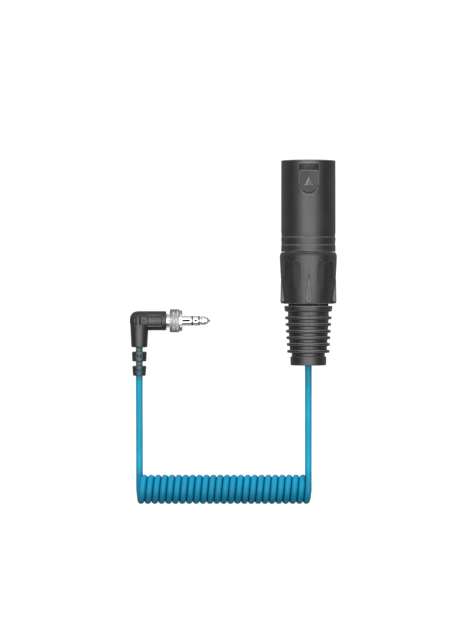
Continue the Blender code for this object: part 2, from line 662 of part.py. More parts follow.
def cut_grip_bars(elbow, drop_axis):
    half = GRIP_BAR_LENGTH / 2
    for number, across in enumerate(GRIP_BAR_PLACES, start=1):
        low = (across - GRIP_BAR_WIDTH / 2, ARM_RADIUS - GRIP_BAR_DEPTH, -half)
        high = (across + GRIP_BAR_WIDTH / 2, ARM_RADIUS + OVERCUT, half)
        cut(elbow, box(f"grip_bar_{number}", low, high, drop_axis))


def make_neck_and_nut(axis):
    holder_end = HOLDER_START + HOLDER_LENGTH
    sleeve_way = JACK_RADIUS + FINE_FIT
    outer = ELBOW_BORE_RADIUS - FINE_FIT
    ring = [(HOLDER_START, outer), (holder_end, outer)]
    turned("jack_holder", ring, [(a, sleeve_way) for a, _ in ring], axis, "insert_plastic", SIDES_SMALL)

    start = ARM_LENGTH + FINE_FIT
    ring = [(start, NECK_RADIUS), (start + NECK_LENGTH, NECK_RADIUS)]
    turned("sleeve_neck", ring, [(a, sleeve_way) for a, _ in ring], axis, "nickel", 24)

    crown = NUT_START + NUT_KNURL_LENGTH
    end = NUT_START + NUT_LENGTH
    edge = 0.25 * MM
    outer = [(NUT_START, NUT_RADIUS - edge), (NUT_START + edge, NUT_RADIUS), (crown - edge, NUT_RADIUS)]
    outer += [(crown, NUT_RADIUS - edge), (crown, NUT_CROWN_RADIUS), (end, NUT_CROWN_RADIUS)]
    pocket_end = NUT_START + NUT_POCKET_DEPTH
    bore = [(NUT_START, NUT_POCKET_RADIUS), (pocket_end, NUT_POCKET_RADIUS)]
    bore += [(pocket_end, NUT_BORE_RADIUS), (end, NUT_BORE_RADIUS)]
    nut = turned("lock_nut", outer, bore, axis, "nickel", 24)
    slots = bmesh.new()
    half = NUT_SLOT_WIDTH / 2
    slot = [(-half, crown + edge), (half, crown + edge), (half, end + OVERCUT), (-half, end + OVERCUT)]
    for lug in range(NUT_LUGS):
        angle = 360.0 * lug / NUT_LUGS
        add_prism(slots, slot, NUT_CROWN_RADIUS - NUT_SLOT_DEPTH, NUT_CROWN_RADIUS + OVERCUT, angle)
    cut(nut, mesh_object("nut_slot_cutter", slots, axis))

    ring_end = pocket_end - FIT
    ring = [(ring_end - RING_LENGTH, NUT_POCKET_RADIUS - FIT), (ring_end, NUT_POCKET_RADIUS - FIT)]
    turned("nut_ring", ring, [(a, JACK_RADIUS + FIT) for a, _ in ring], axis, "spring_metal", 24)


def jack_radii():
    """Outer radius of the rod and of each tube round it: bore and outer radius of the front
    insulator, the ring contact, the rear insulator and the sleeve."""
    radius = ROD_RADIUS
    pairs = []
    for _ in range(3):
        bore = radius + FINE_FIT
        radius = bore + TUBE_WALL
        pairs.append((bore, radius))
    return [*pairs, (radius + FINE_FIT, JACK_RADIUS)]


def make_jack(axis):
    """Tip, ring and sleeve contacts, one through the other, with an insulator between each pair."""
    front_tube, ring_tube, rear_tube, sleeve_tube = jack_radii()
    tip_start = JACK_POINT - TIP_LENGTH
    ring_end = tip_start - BAND_LENGTH
    ring_start = ring_end - RING_CONTACT_LENGTH
    sleeve_end = ring_start - BAND_LENGTH
    gap = FINE_FIT / 2
    rears = [SLEEVE_REAR - step * CONTACT_STAGGER for step in range(5)]

    rod_rear = rears[4]
    outline = [(rod_rear, 0), (rod_rear, ROD_RADIUS), (tip_start, ROD_RADIUS)]
    outline += [(tip_start + place_ * TIP_LENGTH, share * JACK_RADIUS) for place_, share in TIP_OUTLINE]
    turned("jack_tip", outline, [], axis, "nickel", SIDES_SMALL)

    headed = (
        ("front_insulator", front_tube, rears[3], ring_end + gap, tip_start - gap, "band_plastic"),
        ("jack_ring", ring_tube, rears[2], ring_start, ring_end, "nickel"),
        ("rear_insulator", rear_tube, rears[1], sleeve_end + gap, ring_start - gap, "band_plastic"),
    )
    for name, (bore, radius), rear, head, end, finish in headed:
        outer = [(rear, radius), (head, radius), (head, JACK_RADIUS), (end, JACK_RADIUS)]
        turned(name, outer, [(rear, bore), (end, bore)], axis, finish, SIDES_SMALL)
    outer = [(rears[0], JACK_RADIUS), (sleeve_end, JACK_RADIUS)]
    turned("jack_sleeve", outer, [(a, sleeve_tube[0]) for a, _ in outer], axis, "nickel", SIDES_SMALL)
    make_tags(axis, (ROD_RADIUS, ring_tube[1], JACK_RADIUS), (rears[4], rears[2], rears[0]))


def make_tags(axis, radii, rears):
    """One solder tag on the rear of each contact, and one core of the cord to each tag. Across the
    jack, X points down to the table, and the cord comes up from -Y."""
    half = TAG_WIDTH / 2
    cord_end = -(DROP_LENGTH - 2.4 * MM)
    knee = 0.65 * ELBOW_BORE_RADIUS
    rows = (
        ("tip", -1, "wire_tip", "wire_red", 0.0),
        ("ring", 1, "wire_ring", "wire_white", 0.6 * MM),
        ("sleeve", -1, "wire_return", "bare_copper", -0.6 * MM),
    )
    for (contact, side, wire, finish, offset), radius, rear in zip(rows, radii, rears):
        near = radius + FINE_FIT
        low, high = sorted((side * near, side * (near + TAG_THICKNESS)))
        box(f"{contact}_tag", (low, -half, rear), (high, half, rear + TAG_LENGTH), axis, "tinned_tag")
        joint_x = (low + high) / 2
        route = [
            (offset, cord_end, 0),
            (offset, -2 * knee, 0.2 * MM),
            ((offset + joint_x) / 2, -knee, 0.7 * knee),
            (joint_x, -half - FINE_FIT - FINE_WIRE_RADIUS, rear + TAG_LENGTH / 3),
        ]
        tube(wire, smooth_route(route), FINE_WIRE_RADIUS, axis, finish, 1)


def make_mini_cord_end(drop_axis):
    exit_place = list(relief_places())[-1][1]
    start = DROP_LENGTH - 2.0 * MM
    tube("cord_end_mini", [(0, 0, start), (0, 0, exit_place + FIT / 2)], CORD_RADIUS, drop_axis, "cord_blue")


# ---- Assembly ----------------------------------------------------------------------------------
clear_scene()
PARTS = new_collection("xlr_cable_coil")
CUTTERS = new_collection("cutters")

xlr_axis = axis_empty("xlr_axis", (0, XLR_RIM_Y, BUSHING_RADIUS), (math.radians(90), 0, 0))
make_shell(xlr_axis)
make_insert(xlr_axis)
make_contacts(xlr_axis)
make_ground_spring(xlr_axis)
make_chuck(xlr_axis)
make_bushing(xlr_axis)
make_boot(xlr_axis)
make_xlr_wiring(xlr_axis)
make_cord()

mini_corner = (-COIL_LENGTH, MINI_Y, NUT_RADIUS)
jack_axis = axis_empty("jack_axis", mini_corner, (0, math.radians(90), 0))
drop_axis = axis_empty("drop_axis", mini_corner, (math.radians(90), 0, 0))
make_elbow(jack_axis, drop_axis)
make_neck_and_nut(jack_axis)
make_jack(jack_axis)
make_mini_cord_end(drop_axis)
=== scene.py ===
# %% [markdown]
# # A curly adapter lead: three-pin plug, one close coil of blue cord, right-angle mini plug
#
# This notebook dresses an engineering model of the lead. The model comes in as a fixed frame: one
# object for each solid, already in its place, in metres. Each outer solid is then replaced with a
# finer piece of the same size, and each solid inside keeps its shape and gets a better material.
#
# We load the frame first.

# %% Load the frame
import math

import bmesh
import bpy
from mathutils import Matrix, Vector


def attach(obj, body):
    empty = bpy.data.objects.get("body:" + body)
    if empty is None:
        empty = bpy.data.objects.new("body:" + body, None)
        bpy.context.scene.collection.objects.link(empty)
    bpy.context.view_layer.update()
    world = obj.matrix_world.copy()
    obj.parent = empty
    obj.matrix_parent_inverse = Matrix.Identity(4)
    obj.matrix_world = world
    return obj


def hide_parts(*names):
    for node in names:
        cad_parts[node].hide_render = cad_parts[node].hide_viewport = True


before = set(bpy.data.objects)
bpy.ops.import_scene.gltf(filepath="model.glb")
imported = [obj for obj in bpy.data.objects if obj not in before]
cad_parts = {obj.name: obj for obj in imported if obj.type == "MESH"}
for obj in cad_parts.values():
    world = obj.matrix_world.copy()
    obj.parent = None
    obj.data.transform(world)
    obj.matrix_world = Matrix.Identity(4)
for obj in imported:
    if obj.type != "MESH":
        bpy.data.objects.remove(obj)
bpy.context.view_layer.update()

MM = 0.001
BODY = "lead"  # the fixed body: everything that doesn't turn or slide

# %% [markdown]
# ## Camera
#
# The lead lies flat on a table and is seen from straight above, so the camera looks down -Z with +Y
# at the top of the view. A long lens from more than a metre away keeps the two plugs free of
# perspective: a short lens close by would show the inner walls of the coil.

# %% Camera
VIEW_MIDDLE = (-27.36, -16.8)  # mm, the place on the table that the camera looks down at
CAMERA_HEIGHT = 1.217  # m
LENS = 200.0  # mm
SENSOR_WIDTH = 36.0  # mm
FARTHEST_SEEN = 20.0  # m

camera_data = bpy.data.cameras.new("camera")
camera_data.lens = LENS
camera_data.sensor_width = SENSOR_WIDTH
camera_data.clip_end = FARTHEST_SEEN
camera = bpy.data.objects.new("camera", camera_data)
camera.location = (VIEW_MIDDLE[0] * MM, VIEW_MIDDLE[1] * MM, CAMERA_HEIGHT)
bpy.context.scene.collection.objects.link(camera)
bpy.context.scene.camera = camera
print("camera", CAMERA_HEIGHT, "m above the table, looking down")

# %% [markdown]
# ## Helpers for nodes
#
# The floor, the room and every finish are trees of nodes. Adding each node and link by hand takes
# many lines, so one small class adds a node, fills its sockets and gives back its output. The same
# class works on a material, on the world and inside a node group.


# %% Node helpers
MIX_A, MIX_B, MIX_RESULT = 6, 7, 2  # the colour sockets of a Mix node, which have to be numbered


def colour(red, green, blue):
    return (red, green, blue, 1.0)


def scaled(base, share):
    """A darker or lighter version of a colour given as three numbers."""
    return colour(*[channel * share for channel in base])


class Wiring:
    """Adds nodes to a tree in a few words. An input given a socket is linked, else it is set."""

    def __init__(self, tree):
        self.tree = tree

    def add(self, kind, settings=None, **inputs):
        """A node with its settings, and its inputs by name, with _ in place of a space."""
        node = self.tree.nodes.new(kind)
        for name, value in (settings or {}).items():
            setattr(node, name, value)
        for name, value in inputs.items():
            self.feed(node.inputs[name.replace("_", " ")], value)
        return node

    def feed(self, socket, value):
        if isinstance(value, bpy.types.NodeSocket):
            self.tree.links.new(value, socket)
        else:
            socket.default_value = value

    def maths(self, operation, *values, clamp=False):
        """One, two or three values joined by a Math node."""
        node = self.add("ShaderNodeMath", {"operation": operation, "use_clamp": clamp})
        for socket, value in zip(node.inputs, values):
            self.feed(socket, value)
        return node.outputs["Value"]

    def ramp(self, value, low, high, to_low=0.0, to_high=1.0):
        """A smooth step from to_low to to_high as value goes from low to high."""
        node = self.add(
            "ShaderNodeMapRange",
            {"interpolation_type": "SMOOTHSTEP"},
            Value=value, From_Min=low, From_Max=high, To_Min=to_low, To_Max=to_high,
        )
        return node.outputs["Result"]

    def mix(self, share, a, b):
        node = self.add("ShaderNodeMix", {"data_type": "RGBA"}, Factor=share)
        self.feed(node.inputs[MIX_A], a)
        self.feed(node.inputs[MIX_B], b)
        return node.outputs[MIX_RESULT]

    def noise(self, place, scale, detail=3.0, roughness=0.55):
        node = self.add(
            "ShaderNodeTexNoise", Vector=place, Scale=scale, Detail=detail, Roughness=roughness
        )
        return node.outputs["Fac"]


print("node helpers ready")

# %% [markdown]
# ## Floor and light
#
# A product on white needs a floor that is almost pure white, with shadows that hardly show. This one
# is a grey sheet that glows, like a backlit table, but only towards the camera: in the gloss of the
# pieces it stays dark, so the flanks of the black barrel fall to deep grey.
#
# The room is a rule for the light from each direction. It is dim at the horizon and grows to a
# bright soft ceiling right above, which gives every round black part one broad highlight along its
# middle. The ceiling has a dark oval opening, where the camera looks through: bright metal shows it
# as the thin black line that makes metal look like metal. One long soft box beyond the mating end
# lights the edges and the far side of the coil.

# %% Floor
FLOOR_HALF = 1.6  # m
PAPER_GREY = 0.16
PAPER_GLOW = 0.80

floor_bm = bmesh.new()
bmesh.ops.create_grid(floor_bm, x_segments=1, y_segments=1, size=FLOOR_HALF)
floor_mesh = bpy.data.meshes.new("floor")
floor_bm.to_mesh(floor_mesh)
floor_bm.free()
floor = bpy.data.objects.new("floor", floor_mesh)
bpy.context.scene.collection.objects.link(floor)

paper = bpy.data.materials.new("white_paper")
paper.use_nodes = True
w = Wiring(paper.node_tree)
paper_shader = paper.node_tree.nodes["Principled BSDF"]
paper_shader.inputs["Base Color"].default_value = colour(PAPER_GREY, PAPER_GREY, PAPER_GREY)
paper_shader.inputs["Roughness"].default_value = 0.9
paper_shader.inputs["Specular IOR Level"].default_value = 0.1
paper_shader.inputs["Emission Color"].default_value = colour(1, 1, 1)
to_camera = w.add("ShaderNodeLightPath").outputs["Is Camera Ray"]
w.feed(paper_shader.inputs["Emission Strength"], w.maths("MULTIPLY", to_camera, PAPER_GLOW))
floor_mesh.materials.append(paper)
print("floor", 2 * FLOOR_HALF, "m square")

# %% Soft box
TABLE_MIDDLE = (-0.027, -0.017, 0.0)
BOX_PLACE = (-0.027, 1.0, 0.5)
BOX_SIZE = (1.4, 0.5)
BOX_POWER = 44.0

box_data = bpy.data.lights.new("key_soft_box", "AREA")
box_data.shape = "RECTANGLE"
box_data.size, box_data.size_y = BOX_SIZE
box_data.energy = BOX_POWER
soft_box = bpy.data.objects.new("key_soft_box", box_data)
soft_box.location = BOX_PLACE
aim = Vector(TABLE_MIDDLE) - Vector(BOX_PLACE)
soft_box.rotation_euler = aim.to_track_quat("-Z", "Y").to_euler()
soft_box.visible_glossy = False  # its own mirror image would draw a hard stripe along the elbow
bpy.context.scene.collection.objects.link(soft_box)
print("soft box of", BOX_POWER, "W")

# %% Room
# Each step of light: where it starts, where it is whole, and how strong. The places are the upward
# part of a direction, from -1 straight down to 1 straight up.
HORIZON = (-0.2, 0.1, 0.10)
CEILING = ((0.1, 0.5, 0.2), (0.5, 0.97, 3.2), (0.82, 1.0, 10.0))
FAR_WALL = (0.4, 0.95, 0.9)  # along +Y
OPENING_HALF = (0.11, 0.45)  # of the oval, across and from near to far
OPENING_RIM = (0.8, 1.1)  # where the dark ends and the light is whole, as shares of the oval
UNDER_CEILING = (0.2, 0.0)  # the opening darkens nothing below this
BACKDROP = 0.94

world = bpy.data.worlds.new("studio")
bpy.context.scene.world = world
world.use_nodes = True
world.node_tree.nodes.clear()
sky = Wiring(world.node_tree)


def light_step(direction, start, whole, strength):
    return sky.ramp(direction, start, whole, 0.0, strength)


generated = sky.add("ShaderNodeTexCoord").outputs["Generated"]
direction = sky.add("ShaderNodeSeparateXYZ", Vector=generated).outputs
light = light_step(direction["Z"], *HORIZON)
for step in CEILING:
    light = sky.maths("ADD", light, light_step(direction["Z"], *step))
light = sky.maths("ADD", light, light_step(direction["Y"], *FAR_WALL))

oval = []
for axis, half in zip("XY", OPENING_HALF):
    share = sky.maths("DIVIDE", direction[axis], half)
    oval.append(sky.maths("MULTIPLY", share, share))
outside = sky.ramp(sky.maths("ADD", *oval), *OPENING_RIM)
below = sky.ramp(direction["Z"], *UNDER_CEILING)
light = sky.maths("MULTIPLY", light, sky.maths("MAXIMUM", outside, below))

room = sky.add("ShaderNodeBackground", Strength=light)
backdrop = sky.add("ShaderNodeBackground", Color=colour(BACKDROP, BACKDROP, BACKDROP))
either = sky.add("ShaderNodeMixShader", Fac=sky.add("ShaderNodeLightPath").outputs["Is Camera Ray"])
sky.feed(either.inputs[1], room.outputs["Background"])
sky.feed(either.inputs[2], backdrop.outputs["Background"])
sky.add("ShaderNodeOutputWorld", Surface=either.outputs["Shader"])
bpy.context.scene.view_settings.view_transform = "Standard"
print("room lit by", len(CEILING), "steps of ceiling")

# %% [markdown]
# ## Shared effects for the materials
#
# The black finishes are never one flat black: they have a fine moulded grain, edges a little lighter,
# partly rubbed wear and partly a painted highlight, painted shade in their joints, flutes and inner
# corners, and dust and faint handling marks that change their gloss. These effects come back in every
# finish, so each is built once as a node group with its own sliders. The groups only give masks and
# heights. The shader itself stays in each material, where it can be read easily.


# %% Starting a group
FLOAT, VECTOR = "NodeSocketFloat", "NodeSocketVector"


def new_group(name, inputs, outputs):
    """A shader node group with named inputs (name, kind, value) and float outputs."""
    group = bpy.data.node_groups.new(name, "ShaderNodeTree")
    for label, kind, value in inputs:
        socket = group.interface.new_socket(label, in_out="INPUT", socket_type=kind)
        if value is not None:
            socket.default_value = value
    for label in outputs:
        group.interface.new_socket(label, in_out="OUTPUT", socket_type=FLOAT)
    wiring = Wiring(group)
    return group, wiring, wiring.add("NodeGroupInput").outputs, wiring.add("NodeGroupOutput").inputs


print("groups can be started")

# %% Group: moulded grain
# Fine grain from the mould: two sizes of noise and small pits, given as a height
FINE_GRAIN = 2.7  # times as many as the coarse grains
PIT_SPACING = 0.6  # pits for each coarse grain

grain_group, g, given, wanted = new_group(
    "moulded_grain",
    [("Place", VECTOR, None), ("Grain Size", FLOAT, 0.25), ("Pits", FLOAT, 0.3)],
    ["Height", "Speckle"],
)
per_metre = g.maths("DIVIDE", 1000.0, given["Grain Size"])
coarse = g.noise(given["Place"], per_metre, 2.0)
fine = g.noise(given["Place"], g.maths("MULTIPLY", per_metre, FINE_GRAIN), 3.0, 0.7)
pit_scale = g.maths("MULTIPLY", per_metre, PIT_SPACING)
pit_cells = g.add("ShaderNodeTexVoronoi", Vector=given["Place"], Scale=pit_scale)
pits = g.ramp(pit_cells.outputs["Distance"], 0.0, 0.35)
grain = g.maths("ADD", g.maths("MULTIPLY", coarse, 0.6), g.maths("MULTIPLY", fine, 0.4))
g.feed(wanted["Height"], g.maths("ADD", grain, g.maths("MULTIPLY", pits, given["Pits"])))
g.feed(wanted["Speckle"], g.ramp(fine, 0.35, 0.7))
print("group", grain_group.name)

# %% Group: rubbed edges with a painted highlight, and painted shade in hollows
# The attributes "edge" and "hollow" hold how sharply the surface turns outwards and inwards at each
# point. The edge mask is rubbed wear and a painted highlight, and comes in patches of its own size,
# while the painted shade of a hollow is dark all along.
wear_highlight_shade_group, g, given, wanted = new_group(
    "rubbed_highlit_edges_and_shade",
    [("Place", VECTOR, None), ("Amount", FLOAT, 0.5), ("Patch Size", FLOAT, 2.0)],
    ["Mask", "Painted Shade"],
)
edge = g.add("ShaderNodeAttribute", {"attribute_name": "edge"}).outputs["Fac"]
g.feed(wanted["Painted Shade"], g.add("ShaderNodeAttribute", {"attribute_name": "hollow"}).outputs["Fac"])
patches = g.noise(given["Place"], g.maths("DIVIDE", 1000.0, given["Patch Size"]), 4.0, 0.65)
uneven = g.ramp(patches, 0.3, 0.7, 0.5, 1.0)
rubbed_and_highlit_edge = g.maths("MULTIPLY", edge, uneven)
g.feed(wanted["Mask"], g.maths("MULTIPLY", rubbed_and_highlit_edge, given["Amount"], clamp=True))
print("group", wear_highlight_shade_group.name)

# %% Group: dust and handling
# Dust lies in soft clouds with a few specks, and fingers leave long faint smears in the gloss
CLOUDS_PER_METRE, SPECKS_PER_METRE, SMEARS_PER_METRE = 160.0, 520.0, 240.0
SMEAR_STRETCH, SMEAR_TURN = 0.35, 0.6

dust_group, g, given, wanted = new_group(
    "dust_and_handling",
    [("Place", VECTOR, None), ("Dust", FLOAT, 0.3), ("Smears", FLOAT, 0.3)],
    ["Dust", "Smears"],
)
clouds = g.ramp(g.noise(given["Place"], CLOUDS_PER_METRE, 4.0), 0.42, 0.75)
specks = g.add(
    "ShaderNodeTexVoronoi", Vector=given["Place"], Scale=SPECKS_PER_METRE, Randomness=1.0
)
spots = g.ramp(specks.outputs["Distance"], 0.02, 0.09, 1.0, 0.0)
dusty = g.maths("ADD", g.maths("MULTIPLY", clouds, 0.35), g.maths("MULTIPLY", spots, 0.5))
g.feed(wanted["Dust"], g.maths("MULTIPLY", dusty, given["Dust"], clamp=True))
stretched = g.add(
    "ShaderNodeMapping",
    Vector=given["Place"], Scale=(1.0, SMEAR_STRETCH, 1.0), Rotation=(0, 0, SMEAR_TURN),
)
smear = g.ramp(g.noise(stretched.outputs["Vector"], SMEARS_PER_METRE, 3.0), 0.45, 0.7)
g.feed(wanted["Smears"], g.maths("MULTIPLY", smear, given["Smears"]))
print("group", dust_group.name)

# %% Group: turned lines
# The fine rings that a lathe leaves round a metal part. Along is the place along its axis, in metres
WANDER, WANDERS_PER_METRE = 0.8, 900.0  # how far a ring strays, in pitches, and how often

lines_group, g, given, wanted = new_group(
    "turned_lines",
    [("Along", FLOAT, None), ("Place", VECTOR, None), ("Pitch", FLOAT, 0.12)],
    ["Height"],
)
turns = g.maths("DIVIDE", given["Along"], g.maths("MULTIPLY", given["Pitch"], MM))
drift = g.maths("MULTIPLY", g.noise(given["Place"], WANDERS_PER_METRE, 2.0), WANDER)
wave = g.maths("SINE", g.maths("MULTIPLY", g.maths("ADD", turns, drift), 2 * math.pi))
g.feed(wanted["Height"], g.maths("MULTIPLY", g.maths("ADD", wave, 1.0), 0.5))
print("group", lines_group.name)

# %% [markdown]
# ## Finishes
#
# Each finish is a Principled material. Numbers that are the same all over a surface are set on the
# shader itself. What changes over the surface, such as grain, rubbed edges, dust and smears, comes
# from the groups and feeds colour, roughness and bump.


# %% Material helpers
def start_material(name, metallic=0.0, specular=0.5):
    """A material with its wiring, its shader and the place on the object in metres."""
    material = bpy.data.materials.new(name)
    material.use_nodes = True
    w = Wiring(material.node_tree)
    shader = material.node_tree.nodes["Principled BSDF"]
    shader.inputs["Metallic"].default_value = metallic
    shader.inputs["Specular IOR Level"].default_value = specular
    return material, w, shader, w.add("ShaderNodeTexCoord").outputs["Object"]


def use_group(w, group, **inputs):
    return w.add("ShaderNodeGroup", {"node_tree": group}, **inputs).outputs


def bump(w, shader, height, depth_mm):
    node = w.add("ShaderNodeBump", Height=height, Strength=1.0, Distance=depth_mm * MM)
    w.feed(shader.inputs["Normal"], node.outputs["Normal"])


# %% Plastic, rubber and paint
DUST_COLOUR = (0.16, 0.155, 0.15)
MOTTLE = (0.85, 1.15)  # of the base colour, from grain to grain
HOLLOW_SHADE = 0.4  # of the base colour
SPECKLE_MATT, HOLLOW_MATT, SMEAR_MATT, RUBBED_SHINE = 0.08, 0.4, 0.15, 0.12  # in roughness


def moulded(
    name, base, worn_and_highlit, roughness, grain=0.22, depth=0.02, wear_and_highlight=0.5, dust=0.3, pits=0.3, specular=0.45
):
    """Moulded plastic or rubber, or painted metal: grain, edges lightened by rubbing and a painted
    highlight, painted shade in hollows, dust and smears.
    """
    material, w, shader, place = start_material(name, specular=specular)
    grains = use_group(w, grain_group, Place=place, Grain_Size=grain, Pits=pits)
    rubbed_and_shaded = use_group(w, wear_highlight_shade_group, Place=place, Amount=wear_and_highlight)
    dirt = use_group(w, dust_group, Place=place, Dust=dust, Smears=0.3)
    mottled = w.mix(grains["Speckle"], scaled(base, MOTTLE[0]), scaled(base, MOTTLE[1]))
    # Edges are lightened by rubbed wear and a painted highlight, and hollows darkened by painted shade.
    edged = w.mix(rubbed_and_shaded["Mask"], mottled, colour(*worn_and_highlit))
    shaded = w.mix(rubbed_and_shaded["Painted Shade"], edged, scaled(base, HOLLOW_SHADE))
    w.feed(shader.inputs["Base Color"], w.mix(dirt["Dust"], shaded, colour(*DUST_COLOUR)))
    gloss = w.maths("MULTIPLY_ADD", grains["Speckle"], SPECKLE_MATT, roughness - 0.05)
    gloss = w.maths("MULTIPLY_ADD", rubbed_and_shaded["Mask"], -RUBBED_SHINE, gloss)
    gloss = w.maths("MULTIPLY_ADD", rubbed_and_shaded["Painted Shade"], HOLLOW_MATT, gloss)
    gloss = w.maths("MULTIPLY_ADD", dirt["Smears"], SMEAR_MATT, gloss)
    w.feed(shader.inputs["Roughness"], gloss)
    bump(w, shader, grains["Height"], depth)
    return material


# The grey on the edges of the black parts is partly rubbed wear and partly a painted highlight.
SATIN_BLACK, RUBBED_HIGHLIGHT_GREY = (0.004, 0.004, 0.0043), (0.13, 0.13, 0.13)
BAND_BLACK, INSERT_BLACK, INSERT_GREY = (0.01, 0.01, 0.01), (0.009, 0.009, 0.009), (0.05, 0.05, 0.05)
CLAMP_GREY, CLAMP_WORN = (0.42, 0.42, 0.40), (0.6, 0.6, 0.58)
CORE_RED, CORE_RED_WORN = (0.45, 0.02, 0.015), (0.6, 0.15, 0.12)
CORE_WHITE, CORE_WHITE_WORN = (0.72, 0.72, 0.68), (0.85, 0.85, 0.83)

MATERIALS = {
    "shell": moulded("satin_black_coat", SATIN_BLACK, RUBBED_HIGHLIGHT_GREY, 0.47,
                     grain=0.12, depth=0.006, wear_and_highlight=0.7, dust=0.04, pits=0.1),
    "insert": moulded("insert_black", INSERT_BLACK, INSERT_GREY, 0.5, dust=0.06),
    "bushing": moulded("bushing_black", SATIN_BLACK, RUBBED_HIGHLIGHT_GREY, 0.46,
                       grain=0.2, depth=0.010, wear_and_highlight=0.6, dust=0.05),
    "boot": moulded("boot_rubber", SATIN_BLACK, RUBBED_HIGHLIGHT_GREY, 0.44,
                    grain=0.3, depth=0.014, wear_and_highlight=0.4, dust=0.08, pits=0.4),
    "elbow": moulded("elbow_black", SATIN_BLACK, RUBBED_HIGHLIGHT_GREY, 0.44,
                     grain=0.25, depth=0.012, wear_and_highlight=0.22, dust=0.05),
    "band": moulded("insulator_black", BAND_BLACK, RUBBED_HIGHLIGHT_GREY, 0.35,
                    grain=0.1, depth=0.003, dust=0.05),
    "chuck": moulded("chuck_grey", CLAMP_GREY, CLAMP_WORN, 0.5, grain=0.3, depth=0.02, dust=0.2),
    "wire_red": moulded("wire_red", CORE_RED, CORE_RED_WORN, 0.4, grain=0.2, depth=0.005, dust=0.1),
    "wire_white": moulded("wire_white", CORE_WHITE, CORE_WHITE_WORN, 0.4,
                          grain=0.2, depth=0.005, dust=0.1),
}
print(len(MATERIALS), "moulded finishes")


# %% Metals
SMUDGE = 0.6  # of the base colour, under dust
TARNISH_SHARE = 0.5


def plated(name, base, tarnish, roughness, depth, axis=None, pitch=0.12, smeared=0.12):
    """Plated metal: lathe lines along an axis (0, 1 or 2), patches of tarnish and smears."""
    material, w, shader, place = start_material(name, metallic=1.0)
    dirt = use_group(w, dust_group, Place=place, Dust=0.25, Smears=0.5)
    patches = w.ramp(w.noise(place, 700.0, 4.0, 0.6), 0.4, 0.75)
    toned = w.mix(w.maths("MULTIPLY", patches, TARNISH_SHARE), colour(*base), colour(*tarnish))
    w.feed(shader.inputs["Base Color"], w.mix(dirt["Dust"], toned, scaled(base, SMUDGE)))
    w.feed(shader.inputs["Roughness"], w.maths("MULTIPLY_ADD", dirt["Smears"], smeared, roughness))
    if axis is None:
        bump(w, shader, w.noise(place, 4000.0, 3.0), depth)
    else:
        along = w.add("ShaderNodeSeparateXYZ", Vector=place).outputs[axis]
        lines = use_group(w, lines_group, Along=along, Place=place, Pitch=pitch)
        bump(w, shader, lines["Height"], depth)
    return material


MATERIALS |= {
    "gold": plated("gold_plate", (0.86, 0.62, 0.28), (0.62, 0.42, 0.20), 0.22, 0.003,
                   axis=1, pitch=0.15),
    "nickel": plated("nickel_plate", (0.92, 0.91, 0.90), (0.80, 0.78, 0.75), 0.04, 0.0004,
                     axis=0, pitch=0.11, smeared=0.03),
    # The knurled nut is nickel with its colour darkened well below the plain nickel: painted shade of
    # the knurl.
    "knurled": plated("knurled_nickel_shaded", (0.42, 0.415, 0.41), (0.28, 0.275, 0.27), 0.28, 0.004),
    "spring": plated("spring_steel", (0.62, 0.62, 0.61), (0.45, 0.44, 0.42), 0.3, 0.004),
    "tin": plated("tinned_brass", (0.72, 0.72, 0.70), (0.55, 0.55, 0.52), 0.38, 0.02),
    "copper": plated("bare_copper", (0.78, 0.42, 0.27), (0.45, 0.22, 0.13), 0.34, 0.02),
}
print(len(MATERIALS), "finishes with the metals")

# %% [markdown]
# ## Cord
#
# The cord is a soft polyurethane curly lead. It leaves the big plug's boot, runs down to a close coil
# of 24 and a half turns that lies across the table, and comes back up to the mini plug. A modelled
# coil could be a mesh spring or a texture, but a curve that follows the real route is shorter, has
# one true length and can be measured.
#
# The two leads repeat the route points of the engineering model. Between them the helix is made by a
# loop, 32 points for each turn, starting at the top of the coil, where the first lead arrives.

# %% Route of the cord
XLR_LEAD = (
    (0, -35.2, 10.0), (0, -36.1, 10.0), (0, -41.0, 10.0), (0, -46.0, 9.96), (0, -51.0, 9.86),
    (0, -56.5, 9.70), (0, -62.0, 9.50), (0, -68.0, 9.33), (0, -74.6, 9.25),
)
MINI_LEAD = (
    (-59.2, -28.6, 4.1), (-59.2, -34.0, 4.1), (-59.2, -39.9, 4.1), (-59.2, -44.0, 4.02),
    (-59.2, -49.0, 3.55), (-59.2, -54.5, 2.80), (-59.2, -60.0, 2.08), (-59.2, -65.5, 1.57),
    (-59.2, -70.0, 1.33), (-59.2, -74.6, 1.25),
)
CORD_RADIUS = 1.18  # mm
COIL_RADIUS = 4.0  # of the cord's middle
COIL_TURNS = 24.5
COIL_PITCH = 2.416
COIL_Y, COIL_Z = -79.3, 5.23  # the coil's axis
POINTS_PER_TURN = 32
LEAD_STEPS = 4


def smooth_route(points, steps):
    """Points along a smooth curve (Catmull-Rom) through the given ones."""
    given = [Vector(p) for p in points]
    padded = [2 * given[0] - given[1], *given, 2 * given[-1] - given[-2]]
    route = []
    for a, b, c, d in zip(padded, padded[1:], padded[2:], padded[3:]):
        for i in range(steps):
            t = i / steps
            curved = (2 * a - 5 * b + 4 * c - d) * t**2 + (3 * b - a - 3 * c + d) * t**3
            route.append(0.5 * (2 * b + (c - a) * t + curved))
    return [*route, given[-1]]


helix = []
for i in range(int(COIL_TURNS * POINTS_PER_TURN) + 1):
    turn = 2 * math.pi * i / POINTS_PER_TURN
    helix.append(Vector((
        -COIL_PITCH * i / POINTS_PER_TURN,
        COIL_Y - COIL_RADIUS * math.sin(turn),
        COIL_Z + COIL_RADIUS * math.cos(turn),
    )))
route = smooth_route(XLR_LEAD, LEAD_STEPS) + helix + smooth_route(MINI_LEAD, LEAD_STEPS)[::-1]

